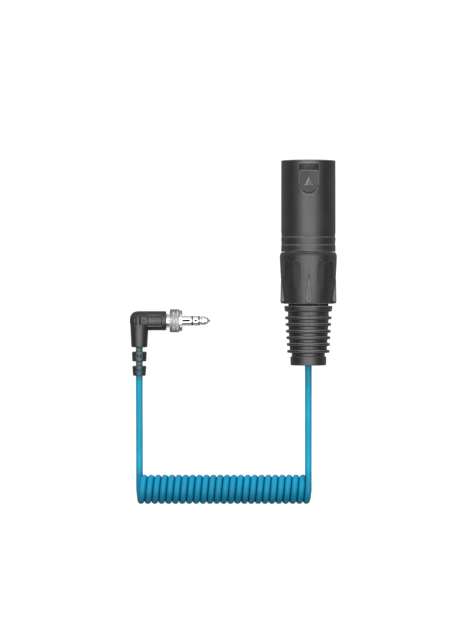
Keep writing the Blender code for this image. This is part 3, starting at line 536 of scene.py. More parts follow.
# %% Material of the cord
# The polyurethane is a deep clear blue: a shaded copy of it colours the coil and a lit copy the two
# pulled-out leads, painted shade and painted light. Painted shade lies between the turns, so the
# material works out how far a point is from the middle of its turn, by its angle round the coil.
COIL_SHADED_BLUES = ((0.002, 0.080, 0.138), (0.0025, 0.092, 0.155))
LEAD_LIT_BLUES = ((0.003, 0.116, 0.176), (0.004, 0.129, 0.193))
TURN_GAP_SHADE_BLUE, CORD_DUST = (0.0008, 0.036, 0.075), (0.05, 0.16, 0.22)
COIL_TOP, GAP_SHADE_END, LEAD_START = -0.0750, -0.0740, -0.0700  # m along Y
# GAP says where the painted shade between the turns starts and is whole.
GAP = (0.34, 0.49)  # of a pitch, from a turn's middle: where the grime starts and is whole
CORD_ROUGHNESS = 0.46

cord_blue, w, shader, place = start_material("curly_cord_blue", specular=0.08)
grains = use_group(w, grain_group, Place=place, Grain_Size=0.5, Pits=0.1)
dirt = use_group(w, dust_group, Place=place, Dust=0.1, Smears=0.4)
clouded = w.ramp(w.noise(place, 90.0, 3.0), 0.35, 0.7)
# Shaded blue for the coil and lit blue for the leads: painted shade and painted light.
coil_shaded_blue = w.mix(clouded, *[colour(*blue) for blue in COIL_SHADED_BLUES])
lead_lit_blue = w.mix(clouded, *[colour(*blue) for blue in LEAD_LIT_BLUES])
at = w.add("ShaderNodeSeparateXYZ", Vector=place).outputs
toned = w.mix(w.ramp(at["Y"], COIL_TOP, LEAD_START), coil_shaded_blue, lead_lit_blue)
# Painted shade between the turns, from each point's distance to the middle of its turn.
from_axis = [w.maths("SUBTRACT", COIL_Y * MM, at["Y"]), w.maths("SUBTRACT", at["Z"], COIL_Z * MM)]
round_share = w.maths("DIVIDE", w.maths("ARCTAN2", *from_axis), 2 * math.pi)
turn_share = w.maths("ADD", w.maths("DIVIDE", at["X"], COIL_PITCH * MM), round_share)
phase = w.maths("FRACT", w.maths("ADD", turn_share, 0.5))
from_middle = w.maths("ABSOLUTE", w.maths("SUBTRACT", phase, 0.5))
on_coil = w.ramp(at["Y"], COIL_TOP, GAP_SHADE_END, 1.0, 0.0)
in_gap = w.maths("MULTIPLY", w.ramp(from_middle, *GAP), on_coil)
toned = w.mix(in_gap, toned, colour(*TURN_GAP_SHADE_BLUE))
w.feed(shader.inputs["Base Color"], w.mix(dirt["Dust"], toned, colour(*CORD_DUST)))
w.feed(shader.inputs["Roughness"], w.maths("MULTIPLY_ADD", dirt["Smears"], 0.15, CORD_ROUGHNESS))
bump(w, shader, grains["Height"], 0.010)
MATERIALS["cord"] = cord_blue
print("cord material", cord_blue.name)

# %% Cord
cord_curve = bpy.data.curves.new("curly_cord", "CURVE")
cord_curve.dimensions = "3D"
cord_curve.bevel_depth = CORD_RADIUS * MM
cord_curve.bevel_resolution = 5  # fourteen sides round the cord
cord_curve.use_fill_caps = True
spline = cord_curve.splines.new("POLY")
spline.points.add(len(route) - 1)
for point, spot in zip(spline.points, route):
    point.co = (*(spot * MM), 1.0)
spline.use_smooth = True
curly_cord = bpy.data.objects.new("curly_cord", cord_curve)
bpy.context.scene.collection.objects.link(curly_cord)
cord_curve.materials.append(cord_blue)
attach(curly_cord, BODY)
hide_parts("cord_lead_xlr", "cord_coil", "cord_lead_mini", "cord_end_mini")
print("cord made")

# %% [markdown]
# ## Tools for turned and moulded pieces
#
# Nearly every piece of a plug is round, so most are spun: a line of points is the outline, and
# `bmesh.ops.spin` turns it about an axis. Sharp outlines look like computer models, so each corner
# may ask for a rounding. Windows, grooves and slots are cut with other closed shapes.
#
# Pieces are drawn in millimetres along their own axis, with the mating end at zero, and put in
# place by one matrix at the end, so that their objects stay at the origin.


# %% Frames of the two plugs
def axis_frame(origin, along, up):
    """Millimetres in a piece's own axes to metres on the table: Z along, Y up, X across."""
    z, y = Vector(along), Vector(up)
    x = y.cross(z)
    turn = Matrix((x, y, z)).transposed().to_4x4()
    return Matrix.Translation(Vector(origin) * MM) @ turn @ Matrix.Scale(MM, 4)


XLR_RIM = (0, 35.8, 10.0)
MINI_CORNER = (-59.192, -20.2, 4.1)
XLR_FRAME = axis_frame(XLR_RIM, (0, -1, 0), (0, 0, 1))
JACK_FRAME = axis_frame(MINI_CORNER, (1, 0, 0), (0, 1, 0))
DROP_FRAME = axis_frame(MINI_CORNER, (0, -1, 0), (0, 0, 1))
print("frames at", XLR_RIM, "and", MINI_CORNER)


# %% Outlines
def soft(points, steps=4, closed=True):
    """Rounds the corners of an outline. A point is (along, radius) or (along, radius, rounding)."""
    result = []
    count = len(points)
    for i, point in enumerate(points):
        here = Vector(point[:2])
        rounding = point[2] if len(point) > 2 else 0.0
        if not rounding or (not closed and i in (0, count - 1)):
            result.append(tuple(here))
            continue
        ends = []
        for other in (points[i - 1], points[(i + 1) % count]):
            to = Vector(other[:2]) - here
            ends.append(here + to.normalized() * min(rounding, to.length * 0.48))
        for step in range(steps + 1):
            t = step / steps
            result.append(tuple(ends[0] * (1 - t) ** 2 + here * 2 * t * (1 - t) + ends[1] * t**2))
    return result


def finer(points, longest, closed=True):
    """Adds points so that no side of the outline is longer than that."""
    result = []
    nexts = points[1:] + points[:1] if closed else points[1:]
    for a, b in zip(points, nexts):
        a, b = Vector(a), Vector(b)
        parts = max(1, math.ceil((b - a).length / longest))
        result += [tuple(a.lerp(b, i / parts)) for i in range(parts)]
    return result if closed else [*result, tuple(points[-1])]


# %% Spinning
SAME_PLACE = 1e-5  # mm


def turned(bm, degrees, axis):
    """Turns the whole of a bmesh about an axis through the origin, and gives it back."""
    matrix = Matrix.Rotation(math.radians(degrees), 3, axis)
    bmesh.ops.rotate(bm, cent=(0, 0, 0), matrix=matrix, verts=bm.verts)
    return bm


def spun(outline, sides=64, closed=True, centre=(0.0, 0.0)):
    """A bmesh turned about Z. An outline that isn't closed starts and ends on the axis."""
    bm = bmesh.new()
    verts = [bm.verts.new((radius, 0.0, along)) for along, radius in outline]
    edges = [bm.edges.new(pair) for pair in zip(verts, verts[1:])]
    if closed:
        edges.append(bm.edges.new((verts[-1], verts[0])))
    bmesh.ops.spin(
        bm, geom=verts + edges, cent=(0, 0, 0), axis=(0, 0, 1), angle=2 * math.pi, steps=sides,
        use_merge=True,
    )
    bmesh.ops.remove_doubles(bm, verts=bm.verts, dist=SAME_PLACE)
    bmesh.ops.recalc_face_normals(bm, faces=bm.faces)
    bmesh.ops.translate(bm, vec=(*centre, 0.0), verts=bm.verts)
    return bm


print("outlines can be spun")


# %% Prisms and slots
def prism(outline, low, high, angle=0.0, grow=0.0, bevel=0.0, bevel_at="top"):
    """A closed block: an outline of (across, along) points, stood up from low to high along Y and
    turned about Z. grow widens the top, and bevel rounds the edges of one end."""
    bm = bmesh.new()
    corners = [bm.verts.new((across, low, along)) for across, along in outline]
    face = bm.faces.new(corners)
    grown = bmesh.ops.extrude_face_region(bm, geom=[face])
    top = [item for item in grown["geom"] if isinstance(item, bmesh.types.BMVert)]
    bmesh.ops.translate(bm, vec=(0, high - low, 0), verts=top)
    if grow:
        middle = sum((v.co for v in top), Vector()) / len(top)
        wide = max(v.co.x for v in top) - min(v.co.x for v in top)
        long = max(v.co.z for v in top) - min(v.co.z for v in top)
        spread = (1 + 2 * grow / wide, 1.0, 1 + 2 * grow / long)
        bmesh.ops.scale(bm, vec=spread, space=Matrix.Translation(-middle), verts=top)
    if bevel:
        level = high if bevel_at == "top" else low
        rim = [e for e in bm.edges if all(abs(v.co.y - level) < SAME_PLACE for v in e.verts)]
        bmesh.ops.bevel(
            bm, geom=rim, offset=bevel, offset_type="OFFSET", segments=3, profile=0.5,
            affect="EDGES", material=-1, clamp_overlap=True,
        )
    bmesh.ops.recalc_face_normals(bm, faces=bm.faces)
    return turned(bm, -angle, "Z")


def block(half, start, end, low, high, **more):
    """A prism with a plain rectangular outline, as wide on either side of the axis."""
    return prism([(-half, start), (half, start), (half, end), (-half, end)], low, high, **more)


def slot_outline(start, end, width, round_start=True, round_end=True, points=10):
    """The outline of a slot along the axis, with a half circle at either end that asks for one."""
    half = width / 2
    outline = []
    for sign, edge, rounded in ((-1, start, round_start), (1, end, round_end)):
        if not rounded:
            outline += [(sign * half, edge), (-sign * half, edge)]
            continue
        centre = edge - sign * half
        for i in range(points + 1):
            turn = math.pi * i / points
            outline.append((sign * half * math.cos(turn), centre + sign * half * math.sin(turn)))
    return outline


print("prisms ready")


# %% Objects, cutting and joining
def local_object(name, bm):
    mesh = bpy.data.meshes.new(name)
    bm.to_mesh(mesh)
    bm.free()
    obj = bpy.data.objects.new(name, mesh)
    bpy.context.scene.collection.objects.link(obj)
    return obj


def apply_modifiers(obj):
    """Turns the object's modifiers into its mesh."""
    graph = bpy.context.evaluated_depsgraph_get()
    mesh = bpy.data.meshes.new_from_object(obj.evaluated_get(graph))
    obj.modifiers.clear()
    old = obj.data
    obj.data = mesh
    bpy.data.meshes.remove(old)
    mesh.name = obj.name


def shape_with(obj, operation, shapes):
    """Cuts the shapes from the object, or joins them to it, and removes them."""
    tools = [local_object(f"tool_{i}", bm) for i, bm in enumerate(shapes)]
    for tool in tools:
        modifier = obj.modifiers.new(tool.name, "BOOLEAN")
        modifier.operation = operation
        modifier.solver = "EXACT"
        modifier.object = tool
    apply_modifiers(obj)
    for tool in tools:
        mesh = tool.data
        bpy.data.objects.remove(tool)
        bpy.data.meshes.remove(mesh)


print("cutting and joining ready")

# %% Marks for the materials
SPLIT_ROUNDS = 4
NARROWEST = 0.05 * MM  # a face thinner than this doesn't make its edges any sharper


def long_edges(bm, longest):
    return [edge for edge in bm.edges if edge.calc_length() > longest]


def split_long_edges(bm, longest):
    """Splits the faces whose edges are longer than that, a few times over."""
    for _ in range(SPLIT_ROUNDS):
        long = long_edges(bm, longest)
        if not long:
            return
        cornered = {face for edge in long for face in edge.link_faces if len(face.verts) > 3}
        bmesh.ops.triangulate(bm, faces=list(cornered))
        bmesh.ops.subdivide_edges(bm, edges=long_edges(bm, longest), cuts=1, use_grid_fill=False)


def mark_edges(mesh, low, high, longest):
    """Stores how sharply the surface turns outwards in "edge", for rubbed wear with a painted
    highlight, and inwards in "hollow", for painted shade, from 0 at low to 1 at high (1/mm). Long flat
    faces are split first, so that the marks stay by the edges."""
    bm = bmesh.new()
    bm.from_mesh(mesh)
    split_long_edges(bm, longest)
    outward = bm.verts.layers.float.new("edge")
    inward = bm.verts.layers.float.get("hollow") or bm.verts.layers.float.new("hollow")
    for edge in bm.edges:
        if len(edge.link_faces) != 2:
            continue
        span = sum(f.calc_area() for f in edge.link_faces) / (2 * max(edge.calc_length(), 1e-9))
        bend = edge.calc_face_angle_signed(0.0) / max(span, NARROWEST) * MM
        share = min(max((abs(bend) - low) / (high - low), 0.0), 1.0)
        layer = outward if bend > 0 else inward
        for vert in edge.verts:
            vert[layer] = max(vert[layer], share)
    bm.to_mesh(mesh)
    bm.free()


def shade_hollows(mesh, painted_shade_at):
    """Starts the "hollow" marks, which are painted shade, from a rule: painted_shade_at takes a place
    and gives 0 to 1.
    """
    bm = bmesh.new()
    bm.from_mesh(mesh)
    layer = bm.verts.layers.float.new("hollow")
    for vert in bm.verts:
        vert[layer] = painted_shade_at(vert.co)
    bm.to_mesh(mesh)
    bm.free()


print("marks ready")


# %% Finishing a piece
def finish_piece(
    obj, place, material, nodes,
    body=BODY, sharp=30.0, edges=(0.8, 3.5), longest=9.0, painted_shade_at=None,
):
    """Puts the piece in place, marks its edges and hollows, ties it to its body and hides the solids it
    stands for.

    sharp is the angle in degrees past which an edge stays crisp, edges the two bends (1/mm) where
    the rubbed wear and painted edge highlight start and are whole, longest the longest side of a marked
    face (mm), and painted_shade_at a rule for the painted shade in the hollows."""
    if painted_shade_at:
        shade_hollows(obj.data, painted_shade_at)
    obj.data.transform(place)
    obj.data.materials.clear()
    obj.data.materials.append(MATERIALS[material])
    obj.data.shade_smooth()
    if sharp:
        obj.data.set_sharp_from_angle(angle=math.radians(sharp))
    mark_edges(obj.data, *edges, longest * MM)
    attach(obj, body)
    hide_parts(*nodes)
    print(obj.name, len(obj.data.polygons), "faces on", body)


print("tools ready")

# %% [markdown]
# ## The barrel
#
# The barrel is a die-cast tube with a satin black coat. Its mating rim is rounded, two saw-tooth
# rings run round it near the back, and on the camera's side it has the latch window with a flat
# thumb recess below it and a small raised arrow in the recess. The tube is spun, then the window
# and the recess are cut with blocks whose walls lean outwards, which gives them a soft lit rim.

# %% Barrel outline
SHELL_R = 9.5
SHELL_END = 31.9
CAVITY_R = 8.1
CAVITY_DEPTH = 15.0
REAR_BORE_R = 8.5
TEETH = (26.9, 29.65)
TOOTH_RUN = 1.9
TOOTH_DEPTH = 0.15
TOOTH_FACE = 0.3

shell_outline = [(0, SHELL_R, 0.35)]
for tooth in TEETH:
    shell_outline += [
        (tooth - TOOTH_RUN, SHELL_R),
        (tooth - TOOTH_FACE, SHELL_R - TOOTH_DEPTH, 0.05),
        (tooth, SHELL_R, 0.08),
    ]
shell_outline += [
    (SHELL_END, SHELL_R, 0.25),
    (SHELL_END, REAR_BORE_R, 0.15),
    (CAVITY_DEPTH, REAR_BORE_R),
    (CAVITY_DEPTH, CAVITY_R, 0.1),
    (0, CAVITY_R, 0.3),
]
barrel = local_object("xlr_barrel", spun(finer(soft(shell_outline), 0.55), 144))
print("barrel outline of", len(shell_outline), "corners")

# %% Guide key and thumb recess
KEY = (6.0, 14.7)  # along the barrel, under its wall
KEY_HALF = 1.3
RECESS_START, RECESS_END = 3.7, 12.3  # the recess starts at the window
RECESS_FLOOR = 8.9
RECESS_HALF = 3.295
RECESS_RIM = 1.15  # how far the sloping wall widens for each millimetre up
RIM_RUN = 0.55  # of that slope, at the recess's round end

guide_key = block(KEY_HALF, *KEY, CAVITY_R - 1.1, CAVITY_R + 0.3, bevel=0.2, bevel_at="low")
shape_with(barrel, "UNION", [guide_key])
recess_outline = slot_outline(RECESS_START, RECESS_END - RIM_RUN, 2 * RECESS_HALF, False, True, 20)
recess = prism(recess_outline, RECESS_FLOOR, RECESS_FLOOR + 1.0, grow=RECESS_RIM)
shape_with(barrel, "DIFFERENCE", [recess])
print("recess cut")

# %% Arrow and latch window
ARROW = (5.8, 9.1)  # its point and its foot
ARROW_HALF = 1.55
ARROW_TOP = 9.27
WINDOW = (1.3, RECESS_START)
WINDOW_HALF = 3.5
THROUGH_WALL = (4.0, 11.0)  # from inside the bore to clear of the barrel
RECESS_SHADE = 0.4

triangle = [(0, ARROW[0], 0.3), (ARROW_HALF, ARROW[1], 0.35), (-ARROW_HALF, ARROW[1], 0.35)]
arrow = prism(soft(triangle), RECESS_FLOOR - 0.2, ARROW_TOP, bevel=0.3)
shape_with(barrel, "UNION", [arrow])
window_outline = soft([
    (-WINDOW_HALF, WINDOW[0], 0.7), (WINDOW_HALF, WINDOW[0], 0.7),
    (WINDOW_HALF, WINDOW[1], 0.25), (-WINDOW_HALF, WINDOW[1], 0.25),
])
shape_with(barrel, "DIFFERENCE", [prism(window_outline, *THROUGH_WALL)])


def recess_painted_shade(at):
    """Painted shade: a little less light on the recess's floor."""
    on_floor = RECESS_START - 0.1 < at.z < RECESS_END and REAR_BORE_R < at.y < RECESS_FLOOR + 0.05
    return RECESS_SHADE if on_floor else 0.0


finish_piece(barrel, XLR_FRAME, "shell", ["xlr_shell"], sharp=25.0,
             edges=(0.6, 1.8), longest=0.7, painted_shade_at=recess_painted_shade)

# %% [markdown]
# ## Insert and contacts
#
# Looking into the barrel you see a black plastic disc with three gold pins. The disc is spun, with a
# raised rim, and drilled for the pins. Each pin is spun with a domed tip and has a solder cup behind.

# %% Contact insert
INSERT_FACE, INSERT_STEP, INSERT_REAR = 13.6, 15.3, 19.3
INSERT_NOSE_R, INSERT_R = 7.8, 8.2
DISH_DEPTH = 0.25
HOLE_MOUTH_R, HOLE_R = 1.9, 1.48
KEYWAY_HALF = 1.6
KEYWAY = (6.7, 9.5)  # its floor, and a height clear of the insert
PIN_CIRCLE = 5.5
PIN_ANGLES = (30.0, 150.0, 270.0)


def pin_places():
    """Where the three pins stand, across the plug."""
    turns = [math.radians(angle) for angle in PIN_ANGLES]
    return [(PIN_CIRCLE * math.cos(turn), PIN_CIRCLE * math.sin(turn)) for turn in turns]


insert_outline = soft([
    (INSERT_FACE, INSERT_NOSE_R, 0.25), (INSERT_STEP, INSERT_NOSE_R, 0.1),
    (INSERT_STEP, INSERT_R, 0.15), (INSERT_REAR, INSERT_R, 0.2),
    (INSERT_REAR, 0.0), (INSERT_FACE + DISH_DEPTH, 0.0),
    (INSERT_FACE + DISH_DEPTH, 2.1, 0.1), (INSERT_FACE, 2.4, 0.1),
])
insert = local_object("contact_insert_detail", spun(finer(insert_outline, 0.8), 96))
hole = [
    (INSERT_FACE - 1, 0), (INSERT_FACE - 1, HOLE_MOUTH_R), (INSERT_FACE + 0.3, HOLE_R),
    (INSERT_REAR + 1, HOLE_R), (INSERT_REAR + 1, 0),
]
holes = [spun(hole, 40, False, place) for place in pin_places()]
keyway = block(KEYWAY_HALF, INSERT_FACE - 1, INSERT_STEP - 0.15, *KEYWAY)
shape_with(insert, "DIFFERENCE", [*holes, keyway])
finish_piece(insert, XLR_FRAME, "insert", ["contact_insert"])

# %% Contact pins
PIN_R = 1.18
PIN_TIP, CUP_START, CUP_FLOOR, CUP_END = 4.0, 19.6, 21.6, 25.2
CUP_R, CUP_BORE_R = 1.5, 1.05

pin_outline = soft([
    (PIN_TIP, 0.0), (PIN_TIP, 0.55, 0.2), (PIN_TIP + 0.5, 1.04, 0.35), (PIN_TIP + 1.2, PIN_R, 0.3),
    (CUP_START, PIN_R), (CUP_START, CUP_R, 0.1), (CUP_END, CUP_R, 0.15),
    (CUP_END, CUP_BORE_R, 0.1), (CUP_FLOOR, CUP_BORE_R, 0.2), (CUP_FLOOR, 0.0),
], closed=False)
for number, place in enumerate(pin_places(), start=1):
    pin = local_object(f"pin_{number}", spun(finer(pin_outline, 1.2, False), 40, False, place))
    finish_piece(pin, XLR_FRAME, "gold", [f"contact_{number}"])

# %% [markdown]
# ## The screw bushing
#
# This collar screws the plug together. It bulges slightly past the barrel and narrows to the back.
# Fourteen places round it take a shallow flute or, at four of them, a raised teardrop ridge. A
# displacement map would blur these edges, so the flutes are cut and the ridges joined on.

# %% Bushing
BUSHING_FRONT, BUSHING_REAR = 32.1, 50.1
THREAD_START, THREAD_R, THREAD_BORE_R = 28.6, 8.2, 7.0
BULGE = (33.2, 10.0)  # along the axis, and radius
WAIST = (36.5, 9.88)
BUSHING_BORE_R = 7.9
GRIP_PLACES = 14
RIDGE_PLACES = (0, 3, 7, 11)
RIDGE_START, RIDGE_END, RIDGE_WIDTH = 39.0, 50.0, 2.1
RIDGE_TOP = 9.9
FLUTE_START, FLUTE_END, FLUTE_WIDTH = 35.2, 46.5, 2.8
FLUTE_FLOOR = 9.3

bushing_outline = soft([
    (THREAD_START, THREAD_R, 0.3), (BUSHING_FRONT, THREAD_R), (BUSHING_FRONT, 9.5, 0.1), (*BULGE, 0.45),
    (*WAIST, 1.5), (40.0, 9.68, 1.5), (43.5, 9.38, 1.5), (46.5, 9.08, 1.5), (BUSHING_REAR, 8.7, 0.25),
    (BUSHING_REAR, 7.3, 0.15), (48.3, 7.3), (48.3, BUSHING_BORE_R), (33.3, BUSHING_BORE_R),
    (33.3, THREAD_BORE_R), (THREAD_START, THREAD_BORE_R),
])
bushing = local_object("screw_bushing", spun(finer(bushing_outline, 0.5), 168))
flute_outline = slot_outline(FLUTE_START, FLUTE_END, FLUTE_WIDTH, True, False, 12)
round_ended = slot_outline(RIDGE_START, RIDGE_END, RIDGE_WIDTH, False, True, 12)
teardrop = [(0.0, RIDGE_START), *round_ended[2:]]  # one point in place of the square end's two
flutes, ridges = [], []
for step in range(GRIP_PLACES):
    angle = 360.0 * step / GRIP_PLACES
    if step in RIDGE_PLACES:
        ridges.append(prism(teardrop, THREAD_R, RIDGE_TOP, angle, bevel=0.45))
    else:
        flutes.append(prism(flute_outline, FLUTE_FLOOR, 11.0, angle, grow=0.12))
shape_with(bushing, "DIFFERENCE", flutes)
shape_with(bushing, "UNION", ridges)
print(len(flutes), "flutes and", len(ridges), "ridges")

# %% Shade and finish of the bushing
JOINT_SHADE, FLUTE_SHADE = 1.0, 0.55
BULGE_FALL, WAIST_FALL = 0.036, 0.08  # how fast the radius falls behind the bulge and the waist


def bushing_painted_shade(at):
    """Painted shade: dark in the joint before the bushing, and a little in the flutes."""
    if at.z < BUSHING_FRONT - 0.1:
        return JOINT_SHADE
    start, radius, fall = (*BULGE, BULGE_FALL) if at.z < WAIST[0] else (*WAIST, WAIST_FALL)
    skin = radius - fall * (at.z - start)
    in_flute = FLUTE_START < at.z < FLUTE_END + 0.1 and 8.5 < math.hypot(at.x, at.y) < skin - 0.15
    return FLUTE_SHADE if in_flute else 0.0


finish_piece(bushing, XLR_FRAME, "bushing", ["bushing"], body="bushing", sharp=24.0,
             edges=(0.9, 2.6), painted_shade_at=bushing_painted_shade)

# %% [markdown]
# ## The cable boot
#
# The boot is soft rubber with a collar, six round-lipped ribs and a tail. It is one spun outline. The
# ribs and the core between them narrow towards the tail, so a loop works out each rib's radius.

# %% Cable boot
BOOT_START, COLLAR_END, TAIL_START, BOOT_END = 50.8, 52.8, 68.5, 71.6
FLANGE = (45.8, 48.0)  # the front end, held inside the bushing
FLANGE_R, BOOT_NECK_R, TAIL_NECK_R = 7.6, 7.0, 5.78
BOOT_BORE_R, CORD_HOLE_R = 4.4, 1.48
RIB_CENTRES = (55.0, 57.3, 59.67, 61.95, 64.27, 66.7)
RIB_RADII = (8.13, 7.42)  # of the first and the last one
CORE_RADII = (7.13, 6.47)
RIB_HALF = 0.5
RIB_FOOT, RIB_LIP = 0.08, 0.03  # a rib is wider than its half at the foot, and narrower at the lip
LIP_ROUNDING = 0.27


def between(ends, share):
    return ends[0] + (ends[1] - ends[0]) * share


boot_outline = [
    (FLANGE[0], FLANGE_R, 0.2), (FLANGE[1], FLANGE_R, 0.15), (FLANGE[1], BOOT_NECK_R),
    (BOOT_START, BOOT_NECK_R), (BOOT_START, 8.48, 0.35), (COLLAR_END, 8.17, 0.35),
    (COLLAR_END + 0.05, CORE_RADII[0], 0.2),
]
for index, centre in enumerate(RIB_CENTRES):
    share = index / (len(RIB_CENTRES) - 1)
    rib_r, core_r = between(RIB_RADII, share), between(CORE_RADII, share)
    behind = TAIL_NECK_R if centre == RIB_CENTRES[-1] else core_r - 0.05
    boot_outline += [
        (centre - RIB_HALF - RIB_FOOT, core_r, 0.2),
        (centre - RIB_HALF + RIB_LIP, rib_r, LIP_ROUNDING),
        (centre + RIB_HALF - RIB_LIP, rib_r - 0.03, LIP_ROUNDING),
        (centre + RIB_HALF + RIB_FOOT, behind, 0.2),
    ]
boot_outline += [
    (TAIL_START, TAIL_NECK_R, 0.2), (TAIL_START, 6.3, 0.25), (BOOT_END, 6.22, 0.4),
    (BOOT_END, CORD_HOLE_R, 0.2), (TAIL_START, CORD_HOLE_R),
    (66.5, BOOT_BORE_R), (FLANGE[0], BOOT_BORE_R),
]
boot = local_object("ribbed_boot", spun(finer(soft(boot_outline, 5), 0.5), 128))


def boot_painted_shade(at):
    """Painted shade: dark in the joint before the collar."""
    return JOINT_SHADE if at.z < BOOT_START - 0.1 else 0.0


finish_piece(boot, XLR_FRAME, "boot", ["cable_boot"], body="boot", sharp=40.0,
             painted_shade_at=boot_painted_shade)

# %% [markdown]
# ## The right-angle moulding
#
# The mini plug's body is one soft moulding: two round arms that meet in a rounded corner, a grip, a
# framed panel and a bend relief of two short segments, with the cord showing in the gaps between
# them. The arms are joined as solids and then remeshed in fine cubes, which melts the joins into the
# small fillets of a real moulding. The real one carries a mark in its frame: here the panel is plain.

# %% Arms of the moulding
ARM_R, ARM_END = 3.38, 9.5
DROP_R, DROP_END_R, DROP_END = 3.28, 2.8, 9.35
CORE_R, CORE_END = 1.3, 19.0  # of the relief, round the cord
SQUARENESS = 2.5  # of the corner: 2 is a sphere


def capped(radius, straight, corner=SQUARENESS, points=14):
    """Half outline of a round arm whose closed end is a squared-off dome round the origin."""
    dome = []
    for i in range(points):
        turn = math.pi / 2 * i / points
        dome.append((-radius * math.cos(turn) ** (2 / corner), radius * math.sin(turn) ** (2 / corner)))
    return dome + straight


arm_side = soft([(0, ARM_R), (ARM_END, ARM_R, 0.4), (ARM_END, 0)], closed=False)
arm = turned(spun(capped(ARM_R, arm_side), 96, False), 90, "Y")
elbow = local_object("elbow_moulding", arm)
drop_side = soft(
    [(0, DROP_R), (DROP_END, DROP_END_R, 0.35), (DROP_END, CORE_R), (10.0, CORE_R)], closed=False
)
drop = [*capped(DROP_R, drop_side), (CORE_END, CORE_R), (CORE_END, 0.0)]
shape_with(elbow, "UNION", [spun(drop, 96, False)])
print("arms joined")

# %% Relief segments and their spine
SEGMENTS = ((10.85, 14.3, 2.62, 2.47), (15.84, 19.35, 2.49, 2.22))  # from, to, and the two radii
SPINES = ((9.0, 11.2, 2.45), (14.0, 16.2, 2.2))  # from, to, and half the height
SPINE_HALF = 0.54
SLIT_HALF_WIDTH, SLIT_HALF_LENGTH = 0.91, 0.5  # through the middle of each segment
SLIT_REACH = 4.0  # either way, clear of the relief

segments = [
    spun(soft([(a, 0.0), (a, first, 0.3), (b, last, 0.3), (b, 0.0)], closed=False), 72, False)
    for a, b, first, last in SEGMENTS
]
spines = [block(SPINE_HALF, a, b, -height, height) for a, b, height in SPINES]
shape_with(elbow, "UNION", [*segments, *spines])
print("relief joined on")

# %% Way of the cord and slits of the relief
BORE_R = 2.5
DROP_BORE_R = 2.4
CORD_WAY_R = 1.3

way_outline = [
    (0, 0), (0, DROP_BORE_R), (7.4, DROP_BORE_R), (8.4, CORD_WAY_R), (21.0, CORD_WAY_R), (21.0, 0)
]
hollow_side = [(0, BORE_R), (ARM_END + 2, BORE_R), (ARM_END + 2, 0)]
hollow = turned(spun(capped(BORE_R, hollow_side, 2.0), 48, False), 90, "Y")
slits = []
for a, b, _, _ in SEGMENTS:
    ends = ((a + b) / 2 - SLIT_HALF_LENGTH, (a + b) / 2 + SLIT_HALF_LENGTH)
    slits.append(prism(soft([
        (-SLIT_HALF_WIDTH, ends[0], 0.3), (SLIT_HALF_WIDTH, ends[0], 0.3),
        (SLIT_HALF_WIDTH, ends[1], 0.3), (-SLIT_HALF_WIDTH, ends[1], 0.3),
    ]), -SLIT_REACH, SLIT_REACH))
shape_with(elbow, "DIFFERENCE", [spun(way_outline, 48, False), hollow, *slits])
print("relief cut")

# %% Grip bars
BARS = ((-1.14, 0.55), (0.33, 0.6), (1.3, 0.14), (2.0, 0.12))  # mm: place, depth
BAR_LENGTH, BAR_WIDTH = 3.3, 0.54
OUTSIDE = 5.0  # well clear of the arm, for the tops of what cuts it

bars = []
for across, depth in BARS:
    surface = math.sqrt(ARM_R**2 - across**2) if across < 0 else ARM_R
    outline = [(x + across, z) for x, z in slot_outline(-BAR_LENGTH / 2, BAR_LENGTH / 2, BAR_WIDTH)]
    bars.append(prism(outline, surface - depth, OUTSIDE, grow=0.05))
print(len(bars), "grip bars")

# %% Plain panel
# A frame sunk in the arm, cut with a block whose floor follows the arm's curve
PANEL = (2.9, 8.0)  # along the arm
PANEL_HALF_ANGLE = 35.0
PANEL_FLOOR = 3.1
PANEL_STEPS = 24

section = [
    (PANEL[0], PANEL_FLOOR), (PANEL[0], OUTSIDE), (PANEL[1], OUTSIDE), (PANEL[1], PANEL_FLOOR)
]
panel = bmesh.new()
rows = []
for i in range(PANEL_STEPS + 1):
    turn = math.radians(PANEL_HALF_ANGLE * (2 * i / PANEL_STEPS - 1))
    rows.append([
        panel.verts.new((along, radius * math.cos(turn), radius * math.sin(turn)))
        for along, radius in section
    ])
for a, b in zip(rows, rows[1:]):
    for i in range(len(section)):
        panel.faces.new((a[i - 1], a[i], b[i], b[i - 1]))
panel.faces.new(rows[0])
panel.faces.new(rows[-1])
bmesh.ops.recalc_face_normals(panel, faces=panel.faces)
shape_with(elbow, "DIFFERENCE", [*bars, panel])
print("grip and panel cut")

# %% Melt the joins and finish
VOXEL = 0.12
SMOOTHINGS = 2

remesh = elbow.modifiers.new("melt", "REMESH")
remesh.mode = "VOXEL"
remesh.voxel_size = VOXEL
apply_modifiers(elbow)
melted = bmesh.new()
melted.from_mesh(elbow.data)
for _ in range(SMOOTHINGS):
    bmesh.ops.smooth_vert(
        melted, verts=melted.verts, factor=0.5, use_axis_x=True, use_axis_y=True, use_axis_z=True
    )
melted.to_mesh(elbow.data)
melted.free()
finish_piece(elbow, DROP_FRAME, "elbow", ["elbow_body"], sharp=0.0)

# %% [markdown]
# ## The neck, the lock nut and the jack
#
# A nickel neck joins the moulding to the jack. The lock nut turns on it: its wide part is knurled in
# small diamonds, and its crown has six lugs. The jack itself is a stack of contacts and black bands.
# The knurl is worked into a finely spun nut by moving each point of its rim in or out.

# %% Neck
NECK = (9.6, 10.5)
NECK_R, NECK_BORE_R = 2.4, 1.85
GROOVE = (9.85, 10.05)
GROOVE_R = 2.25

